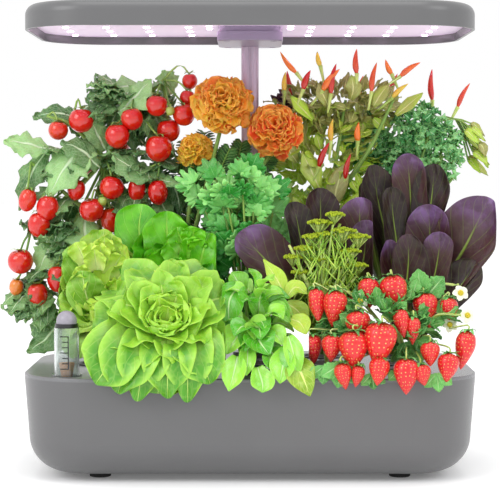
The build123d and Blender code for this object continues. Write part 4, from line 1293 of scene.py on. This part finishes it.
class GARDEN_OT_marigold(bpy.types.Operator):
    """Grow the marigold with its three ruffled flowers"""
    bl_idname = "garden.marigold"
    bl_label = "Marigold"

    def execute(self, context):
        bed = Bed("marigold_foliage", 17)
        luck = bed.luck
        for stem in ([(-65, 60, 88), (-57, 46, 165), (-40, 40, 237), (-25, 34, 295)],
                     [(-57, 46, 165), (-18, 42, 219), (16, 38, 268)],
                     [(-57, 46, 165), (-55, 44, 210), (-49, 44, 256)]):
            bed.stem(stem, 2.2, 1.5)

        def feather(start, way, reach, look):
            """A leaf of narrow leaflets in pairs."""
            way = unit(way)
            side = unit(np.cross(way, look))
            tip = start + way * reach + np.array((0, 0, -3))
            bed.stem([start, start + way * reach * 0.5, tip], 0.8, 0.4, sides=5, steps=4)
            for j in range(9):
                at = start + (tip - start) * (0.2 + j * 0.09)
                for hand in (-1, 1):
                    out = unit(side * hand + way * 0.6)
                    long = reach * 0.36 * math.sin(math.pi * (0.25 + 0.065 * j))
                    bed.leaf([at, at + out * long * 0.5 + (0, 0, 0.8), at + out * long],
                             [1.6, 5.0, 1.2], "marigold_leaf", face=look, cup=0.2, ruffle=0.4,
                             point=0.7, cells=(2, 4))
        for k in range(72):
            place, way = inside(luck, ((-68, -24), (46, 86), (125, 278)))
            feather(place - way * 14, way + np.array((0, 0, 0.2)), luck.uniform(26, 38),
                    outward(way))
        for start, way, reach in (((-30, 42, 246), (0.35, -0.1, 0.9), 34),
                                  ((-12, 40, 238), (0.8, -0.1, 0.5), 34),
                                  ((-34, 46, 246), (-0.5, 0, 0.8), 30),
                                  ((-14, 48, 250), (0.2, 0.1, 0.95), 34),
                                  ((4, 44, 246), (0.5, 0, 0.8), 30)):
            feather(np.array(start, float), way, reach, np.array((0, -0.9, 0.4)))
        bed.gather("deck", ("marigold",), "thin_leaf",
                   keep_in=((-78, 34, 88.5), (36, 95, 300)), squash=0.56)

        heads = Bed("marigold_flowers", 18)
        for centre, radius, axis, count, tone in (
                ((-25, 33, 313), 27, (0.05, -0.85, 0.5), 130, 0.55),
                ((22, 33, 290), 25, (-0.05, -0.85, 0.45), 120, 0.2),
                ((-49, 44, 272), 17, (-0.3, -0.8, 0.5), 80, 0.95)):
            axis = unit(axis)
            side, fore = square_to(axis, (0, 0.4, 1))
            centre = np.array(centre, float)
            heads.bead(centre - axis * radius * 0.15, radius * 0.5, "marigold_petal", tone,
                       (12, 8))
            for i in range(count):
                k = i / count
                a = i * GOLDEN_ANGLE
                round_way = side * math.cos(a) + fore * math.sin(a)
                lean = math.radians(8 + 104 * k ** 0.75)
                way = round_way * math.sin(lean) + axis * math.cos(lean)
                root = centre + way * radius * (0.25 + 0.2 * k)
                tip = centre + way * radius * (0.78 + 0.2 * k) * heads.luck.uniform(0.8, 1.08)
                twist = np.array([heads.luck.uniform(-0.12, 0.12) for _ in range(3)]) * radius
                wide = radius * heads.luck.uniform(0.42, 0.66)
                shade = min(1, max(0, tone + heads.luck.uniform(-0.3, 0.3)))
                heads.leaf([root, (root + tip) / 2 + axis * radius * 0.05,
                            tip + twist + round_way * radius * 0.12 * (k - 0.2)],
                           [wide * 0.35, wide * 0.9, wide], "marigold_petal",
                           face=axis + way * 0.3 - round_way * 0.8 + twist / radius * 3,
                           cup=0.3, ruffle=radius * 0.1, waves=2, point=0.72, blunt=0.8,
                           tone=shade, cells=(8, 6))
        heads.gather("deck", ("marigold",), "thin_leaf",
                     keep_in=((-72, 4, 240), (50, 66, 341)), squash=0.56)
        return {"FINISHED"}


class GARDEN_OT_chilli(bpy.types.Operator):
    """Grow the ornamental chilli with its upright pods"""
    bl_idname = "garden.chilli"
    bl_label = "Chilli"

    def execute(self, context):
        bed = Bed("chilli_foliage", 19)
        luck = bed.luck
        for stem in ([(65, 60, 88), (65, 60, 156), (70, 60, 219), (79, 60, 273), (86, 60, 318)],
                     [(70, 60, 219), (42, 58, 273), (22, 60, 318)],
                     [(70, 60, 219), (106, 52, 273), (128, 52, 318)],
                     [(70, 60, 219), (134, 92, 273), (172, 94, 312)]):
            bed.stem(stem, 2.4, 1.2)

        def blade(start, mid, tip, wide, look=TOWARD_FRONT, skin="chilli_leaf", tone=None):
            bed.leaf([start, mid, tip], [wide * 0.35, wide * 1.1, wide * 0.22], skin, face=look,
                     cup=0.15, ruffle=0.8, waves=2, point=0.75, tone=tone, cells=(4, 6))
        for start, mid, tip, wide in (
                ((56, 50, 300), (45, 46, 311), (36, 46, 321), 13),
                ((70, 50, 312), (65, 46, 322), (60, 46, 332), 13),
                ((90, 52, 318), (92, 46, 328), (90, 46, 340), 14),
                ((110, 46, 312), (116, 46, 322), (124, 46, 332), 13),
                ((42, 50, 262), (32, 50, 276), (20, 50, 288), 15),
                ((62, 46, 238), (54, 46, 256), (46, 46, 272), 18),
                ((74, 46, 222), (78, 46, 242), (86, 46, 262), 18),
                ((58, 46, 204), (47, 46, 216), (38, 46, 232), 17),
                ((86, 46, 204), (92, 46, 222), (100, 46, 236), 17),
                ((130, 46, 304), (142, 46, 314), (154, 46, 324), 12)):
            blade(start, mid, tip, wide)
        lumps = (((15, 122), (47, 96), (135, 320)), ((15, 118), (47, 96), (200, 322)),
                 ((17, 142), (52, 96), (290, 338)))
        for k in range(720):
            place, way = inside(luck, lumps[k % 3])
            drop = unit(way + np.array([luck.uniform(-0.7, 0.7) for _ in range(3)]))
            purple = place[0] < 34 and place[2] > 290 and luck.random() < 0.6
            fresh = min(1, max(0, (330 - place[2]) / 110 + luck.uniform(-0.3, 0.3)))
            blade(place - drop * 7, place, place + drop * 8, luck.uniform(5, 10),
                  outward(way, 0.4), "chilli_leaf_purple" if purple else "chilli_leaf", fresh)
        # the branch that droops at the right
        for k in range(16):
            place = np.array((luck.uniform(190, 208), luck.uniform(72, 92), 262 + 2.4 * k))
            bed.stem([(160, 94, 298), (188, 88, 302), place], 0.9, 0.6, steps=5)
            blade(place, place + (4, -2, -2), place + (luck.uniform(6, 14), -4, -12),
                  luck.uniform(6, 9), (0, -0.8, 0.6), tone=luck.uniform(0.0, 0.7))
        bed.gather("deck", ("chilli",), "thin_leaf",
                   keep_in=((8, 40, 88.5), (224, 103, 347)), squash=0.52)

        pods = Bed("chilli_pods", 20)
        for foot, tip, thick, ripe in (
                ((95, 46, 340), (95, 44, 363), 4.4, 0.9),
                ((63, 50, 347), (60, 50, 361), 3.8, 0.1),
                ((42, 48, 341), (27, 50, 361), 3.8, 0.5),
                ((47, 46, 326), (54, 45, 344), 4.8, 1.0),
                ((31, 52, 325), (32, 52, 343), 3.8, 0.1),
                ((64, 46, 325), (80, 45, 345), 5.0, 0.55),
                ((72, 46, 322), (77, 45, 350), 4.6, 1.0),
                ((108, 45, 324), (113, 44, 351), 4.2, 0.8),
                ((127, 52, 340), (121, 52, 354), 3.8, 0.5),
                ((133, 48, 338), (152, 48, 351), 4.2, 0.7),
                ((167, 90, 318), (167, 90, 348), 4.4, 1.0),
                ((190, 92, 312), (202, 92, 335), 3.8, 0.9),
                ((126, 46, 319), (141, 45, 332), 3.8, 0.1),
                ((5, 72, 338), (5, 72, 358), 3.4, 0.9),
                ((72, 45, 280), (74, 44, 301), 4.2, 0.15),
                ((61, 45, 257), (71, 44, 280), 4.6, 1.0),
                ((85, 45, 246), (90, 44, 270), 4.2, 1.0),
                ((96, 45, 280), (97, 44, 298), 4.6, 0.5),
                ((40, 80, 322), (34, 84, 346), 4.4, 0.95),
                ((100, 86, 318), (104, 92, 342), 4.4, 0.8),
                ((70, 92, 300), (74, 96, 322), 4.2, 0.2),
                ((128, 94, 320), (136, 97, 344), 4.2, 1.0)):
            pattern, ball = pods.pattern("ball", 12, 12)
            t = (ball[:, 2] + 1) / 2
            flat = np.maximum(np.hypot(ball[:, 0], ball[:, 1]), 1e-6)
            wide = thick * 0.56 * np.minimum(1, t / 0.28) ** 0.5 * (1 - t ** 2.4) ** 0.8
            foot, tip = np.array(foot, float), np.array(tip, float)
            long, way = np.linalg.norm(tip - foot), unit(tip - foot)
            co = np.stack([ball[:, 0] / flat * wide * 1.25 + np.sin(t * 3) * long * 0.06,
                           ball[:, 1] / flat * wide * 1.25, t * long], 1)
            pods.turned(pattern, co, foot, tip - foot, "chilli_skin", ripe)
            pods.stem([foot - way * 16, foot - way * 5, foot + way * 1.5], 0.9, 2.0,
                      "stalk_pale", sides=6, steps=4)
        pods.gather("deck", ("chilli",),
                    keep_in=((0, 38, 230), (224, 103, 366)), squash=0.52)
        return {"FINISHED"}


class GARDEN_OT_parsley(bpy.types.Operator):
    """Grow the curly parsley"""
    bl_idname = "garden.parsley"
    bl_label = "Parsley"

    def execute(self, context):
        bed = Bed("parsley_plant", 21)
        luck = bed.luck
        crown = (130, 62, 175)
        for k in range(12):
            a = k * TURN / 12
            top = (160 + 26 * math.cos(a), 72 + 22 * math.sin(a), 268 + 20 * math.sin(a * 3))
            bed.stem([(130 + 3 * math.cos(a), 60 + 3 * math.sin(a), 88), crown, top], 1.5, 1.0)
        lumps = (((128, 176), (46, 98), (262, 317)), ((146, 192), (50, 98), (240, 304)),
                 ((122, 166), (48, 98), (236, 286)), ((84, 130), (74, 102), (256, 308)))
        for k in range(1150):
            place, way = inside(luck, lumps[k % 4])
            look = outward(way, 0.5)
            grow = unit(way * 0.7 + np.array([luck.uniform(-0.9, 0.9) for _ in range(3)]))
            bed.fan(place, grow, luck.uniform(5, 8), "parsley_leaf", face=look,
                    lobes=3, depth=0.45, cup=luck.uniform(0.3, 0.9), spread=95,
                    cells=(6, 3), ruffle=2.0)
        bed.gather("deck", ("parsley",), "thin_leaf",
                   keep_in=((76, 40, 88.5), (200, 105, 320)), squash=0.62)
        return {"FINISHED"}


class GARDEN_OT_basil(bpy.types.Operator):
    """Grow the basil at the front"""
    bl_idname = "garden.basil"
    bl_label = "Basil"

    def execute(self, context):
        bed = Bed("basil_plant", 22)
        luck = bed.luck
        for stem in ([(0, -60, 88), (-2, -66, 131), (-5, -70, 156)],
                     [(0, -62, 100), (17, -66, 139), (27, -66, 154)],
                     [(0, -62, 96), (18, -84, 118), (34, -96, 122)],
                     [(0, -62, 94), (-10, -84, 114), (-15, -98, 112)]):
            bed.stem(stem, 1.8, 1.2)

        def spoon(points, widths, skin="basil_leaf", cup=0.55, look=TOWARD_FRONT):
            bed.leaf(points, widths, skin, face=look, cup=cup, ruffle=0.7, waves=2, point=0.6,
                     blunt=0.25, wrinkle=0.35, cells=(8, 10))
        for points, widths in (
                ([(-8, -72, 160), (-17, -82, 148), (-17, -86, 124)], [10, 27, 6]),
                ([(-5, -66, 155), (-11, -66, 164), (-15, -64, 171)], [7, 19, 5]),
                ([(7, -72, 133), (8, -76, 148), (10, -78, 156)], [7, 19, 6]),
                ([(10, -76, 133), (20, -80, 142), (33, -84, 130)], [8, 22, 6]),
                ([(-2, -82, 123), (5, -90, 127), (13, -94, 123)], [7, 22, 8]),
                ([(-5, -88, 123), (-11, -96, 119), (-19, -100, 106)], [8, 24, 8]),
                ([(5, -92, 123), (8, -104, 116), (16, -108, 106)], [8, 28, 9]),
                ([(-2, -98, 113), (-2, -108, 102), (-3, -110, 90)], [7, 15, 5]),
                ([(16, -98, 110), (21, -108, 102), (24, -112, 90)], [8, 24, 7]),
                ([(31, -98, 121), (35, -108, 107), (38, -113, 86)], [7, 17, 5]),
                ([(-10, -104, 105), (-13, -113, 92), (-17, -118, 78)], [8, 22, 6]),
                ([(6, -108, 97), (10, -116, 84), (10, -118, 77)], [8, 21, 6]),
                ([(30, -98, 112), (26, -112, 96), (24, -116, 84)], [8, 22, 6])):
            spoon(points, widths)
        for points, widths in (([(30, -62, 149), (22, -60, 165), (11, -56, 181)], [7, 16, 4]),
                               ([(30, -64, 149), (38, -62, 158), (48, -62, 152)], [6, 15, 5]),
                               ([(30, -66, 145), (40, -66, 138), (47, -68, 128)], [7, 19, 6]),
                               ([(33, -80, 133), (41, -84, 130), (46, -88, 121)], [7, 18, 7]),
                               ([(35, -98, 104), (42, -115, 90), (48, -118, 74)], [9, 28, 6])):
            spoon(points, widths, "lime_leaf", 0.3)
        for k in range(46):
            place, way = inside(luck, ((-19, 31), (-108, -40), (98, 170)))
            drop = unit(way * (1, 1, 0.6) + np.array((0, 0, -0.2)))
            spoon([place - drop * 9, place + (0, 0, 3), place + drop * 10],
                  [6, luck.uniform(15, 21), 5], cup=0.45, look=outward(way, 0.5))
        bed.gather("basil_pod", ("basil",), "thin_leaf", smooth=1,
                   keep_in=((-23, -126, 73), (52, -34, 184)))
        return {"FINISHED"}


class GARDEN_OT_dill(bpy.types.Operator):
    """Grow the dill with its flower umbels"""
    bl_idname = "garden.dill"
    bl_label = "Dill"

    def execute(self, context):
        bed = Bed("dill_plant", 23)
        luck = bed.luck
        for stem in ([(65, -60, 88), (60, -54, 131), (58, -44, 172), (58, -40, 206)],
                     [(60, -54, 131), (43, -46, 172), (33, -42, 192)],
                     [(60, -54, 131), (81, -44, 168), (90, -40, 204)],
                     [(58, -44, 172), (68, -40, 192), (76, -40, 210)]):
            bed.stem(stem, 1.7, 1.0, "stalk_pale")
        for x, z, reach in ((58, 208, 11), (71, 215, 8), (78, 201, 11), (91, 196, 10),
                            (62, 198, 10), (46, 186, 10), (36, 179, 8), (59, 177, 10),
                            (43, 166, 9), (76, 171, 11), (60, 156, 12), (90, 172, 9),
                            (52, 196, 9), (84, 184, 9)):
            head = np.array((x, -42.0, z + 2))
            foot = head - (0, 0, reach * 0.9)
            bed.stem([(62, -50, 140), (foot[0] * 0.7 + 62 * 0.3, -47, foot[2] - 8), foot],
                     0.9, 0.7, "stalk_pale", sides=5, steps=5)
            for i in range(17):
                k = math.sqrt((i + 0.5) / 17)
                a = i * GOLDEN_ANGLE
                end = head + np.array((math.cos(a) * reach * k, math.sin(a) * reach * k * 0.8,
                                       reach * 0.25 * (1 - k * k)))
                bed.stem([foot, end], 0.35, 0.3, "stalk_pale", sides=4, steps=1)
                for j in range(4):
                    b = j * TURN / 4 + a
                    bed.bead(end + (math.cos(b) * 1.3, math.sin(b) * 1.3, luck.uniform(0, 1)),
                             luck.uniform(0.9, 1.3), "dill_flower", 0.6, (6, 3))
        for k in range(240):
            place, way = inside(luck, ((36, 93), (-60, -32), (128, 200)))
            grow = unit(np.array((luck.uniform(-0.8, 0.8), luck.uniform(-0.6, 0.3), 0.8)))
            bed.leaf([place - grow * 8, place + (luck.uniform(-2, 2), 0, 0), place + grow * 9],
                     [1.1, 1.3, 0.6], "dill_thread", face=outward(way), cup=0.1, point=0.9,
                     cells=(1, 4))
        bed.gather("dill_pod", ("dill",), "thin_leaf",
                   keep_in=((26, -66, 88.5), (102, -28, 222)))
        return {"FINISHED"}


class GARDEN_OT_strawberry(bpy.types.Operator):
    """Grow the strawberry plant with its fruit and flowers"""
    bl_idname = "garden.strawberry"
    bl_label = "Strawberry"

    def execute(self, context):
        leaves = Bed("strawberry_foliage", 24)
        luck = leaves.luck
        heart = np.array((130.0, -60.0, 100.0))
        for stem in ([(130, -60, 88), (123, -62, 122), (121, -60, 155)],
                     [heart, (92, -66, 147), (66, -66, 159)],
                     [heart, (96, -80, 134), (77, -88, 139)],
                     [heart, (148, -60, 155), (174, -60, 160)],
                     [heart, (150, -80, 134), (172, -88, 137)],
                     [heart, (121, -90, 128), (122, -104, 130)],
                     [heart, (90, -96, 118), (77, -110, 110)]):
            leaves.stem(stem, 1.4, 0.9, "stalk_pale")

        def trefoil(place, grow, look, reach):
            """Three toothed leaflets from one place."""
            side = unit(np.cross(grow, look))
            for turn in (-1.1, 0, 1.1):
                lean = unit(grow + side * turn)
                mid = place + lean * reach * 0.55
                leaves.leaf([place, mid, place + lean * reach], [2, reach * 0.78, reach * 0.25],
                            "strawberry_leaf", face=look, cup=0.2, ruffle=0.6, waves=2,
                            teeth=7, tooth=0.2, point=0.7, cells=(6, 14))
        front, upward = (0, -1, 0.3), (0, -0.7, 0.7)
        for place, grow, look, reach in (((142, -68, 146), (-0.12, -0.1, 1), front, 28),
                                         ((156, -72, 146), (0.7, 0, -0.4), upward, 16),
                                         ((112, -60, 150), (-0.6, 0.1, 0.6), upward, 18),
                                         ((74, -114, 100), (-0.2, -0.2, -1), front, 20),
                                         ((98, -114, 92), (0.1, -0.2, -1), front, 13),
                                         ((150, -114, 92), (0.1, -0.2, -1), front, 15),
                                         ((120, -114, 96), (0.1, -0.2, -1), front, 13),
                                         ((60, -112, 98), (-0.1, -0.2, -1), front, 15)):
            trefoil(np.array(place, float), unit(grow), unit(look), reach)
        for k in range(84):
            place, way = inside(luck, ((54, 176), (-106, -48), (98, 158)))
            trefoil(place - way * 5, unit(way + np.array((0, 0, 0.25))), outward(way, 0.3),
                    luck.uniform(8, 16))
        box = ((48, -131, 74), (183, -40, 182))
        leaves.gather("strawberry_pod", ("strawberry",), "thin_leaf",
                      keep_in=box)

        fruit = Bed("strawberry_fruit", 25)
        for x, y, z, wide, tall in (
                (98, -76, 154, 9.5, 12.5), (119, -78, 153, 12, 16), (55, -82, 144, 8, 14.5),
                (69, -88, 142, 10.5, 15), (145, -76, 141, 11, 13), (88, -98, 128, 11, 13),
                (123, -101, 131, 7, 12), (132, -100, 125, 6.5, 11.5), (51, -90, 109, 9, 12),
                (66, -104, 111, 9, 11), (83, -112, 110, 13, 16), (104, -114, 115, 14, 18.5),
                (145, -110, 107, 8.5, 10), (159, -112, 96, 9.5, 12), (174, -98, 109, 9, 16),
                (125, -119, 90, 11, 14.5), (75, -117, 90, 7.5, 11), (86, -117, 90, 6, 9),
                (103, -119, 94, 9, 11.5), (138, -119, 91, 8, 8.5), (164, -76, 140, 8, 10),
                (80, -52, 138, 9, 12), (150, -50, 132, 9, 12), (116, -48, 140, 9, 12)):
            top = fruit.berry((x, y, z), wide, tall)
            fruit.stem([top, top + (0, 2, 5), heart + (top - heart) * 0.7 + (0, 0, 9)],
                       0.7, 0.8, "stalk_pale", sides=5, steps=5)
        for x, y, z in ((173, -78, 154), (178, -84, 136), (164, -80, 128), (90, -84, 148)):
            face = unit((0.15, -0.85, 0.4))
            side, fore = square_to(face, (0, 0, 1))
            middle = np.array((x, y, z), float)
            for k in range(5):
                a = k * TURN / 5
                out = side * math.cos(a) + fore * math.sin(a)
                fruit.leaf([middle + out * 1.5, middle + out * 4 + face, middle + out * 7],
                           [2.5, 6, 4], "petal_white", face=face, cup=0.25, point=0.5,
                           cells=(4, 4))
            fruit.bead(middle + face, 2.4, "flower_eye", 0.5, (10, 6))
        fruit.gather("strawberry_pod", ("strawberry",), keep_in=box, deck=False)
        return {"FINISHED"}


PIECES = (GARDEN_OT_stage, GARDEN_OT_housing, GARDEN_OT_gauge_marks, GARDEN_OT_pump_lead,
          GARDEN_OT_butterhead, GARDEN_OT_green_lettuce, GARDEN_OT_side_lettuce,
          GARDEN_OT_romaines, GARDEN_OT_cilantro, GARDEN_OT_tomato, GARDEN_OT_marigold,
          GARDEN_OT_chilli, GARDEN_OT_parsley, GARDEN_OT_basil, GARDEN_OT_dill,
          GARDEN_OT_strawberry)


class GARDEN_PT_panel(bpy.types.Panel):
    """Lists the garden's pieces and what can be changed"""
    bl_idname = "GARDEN_PT_panel"
    bl_label = "Garden"
    bl_space_type = "VIEW_3D"
    bl_region_type = "UI"
    bl_category = "Garden"

    def draw(self, context):
        for group in (context.scene.garden_sizes, context.scene.garden_colours):
            box = self.layout.box()
            for name in group.bl_rna.properties.keys():
                if name not in ("rna_type", "name"):
                    box.prop(group, name)
        for piece in PIECES:
            self.layout.operator(piece.bl_idname)


CLASSES = (GardenSizes, GardenColours) + PIECES + (GARDEN_PT_panel,)


def register():
    for each in CLASSES:
        bpy.utils.register_class(each)
    bpy.types.Scene.garden_sizes = bpy.props.PointerProperty(type=GardenSizes)
    bpy.types.Scene.garden_colours = bpy.props.PointerProperty(type=GardenColours)


def unregister():
    del bpy.types.Scene.garden_colours
    del bpy.types.Scene.garden_sizes
    for each in reversed(CLASSES):
        bpy.utils.unregister_class(each)


def main():
    register()
    for piece in PIECES:
        family, verb = piece.bl_idname.split(".")
        getattr(getattr(bpy.ops, family), verb)()
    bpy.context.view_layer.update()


if __name__ == "__main__":
    main()
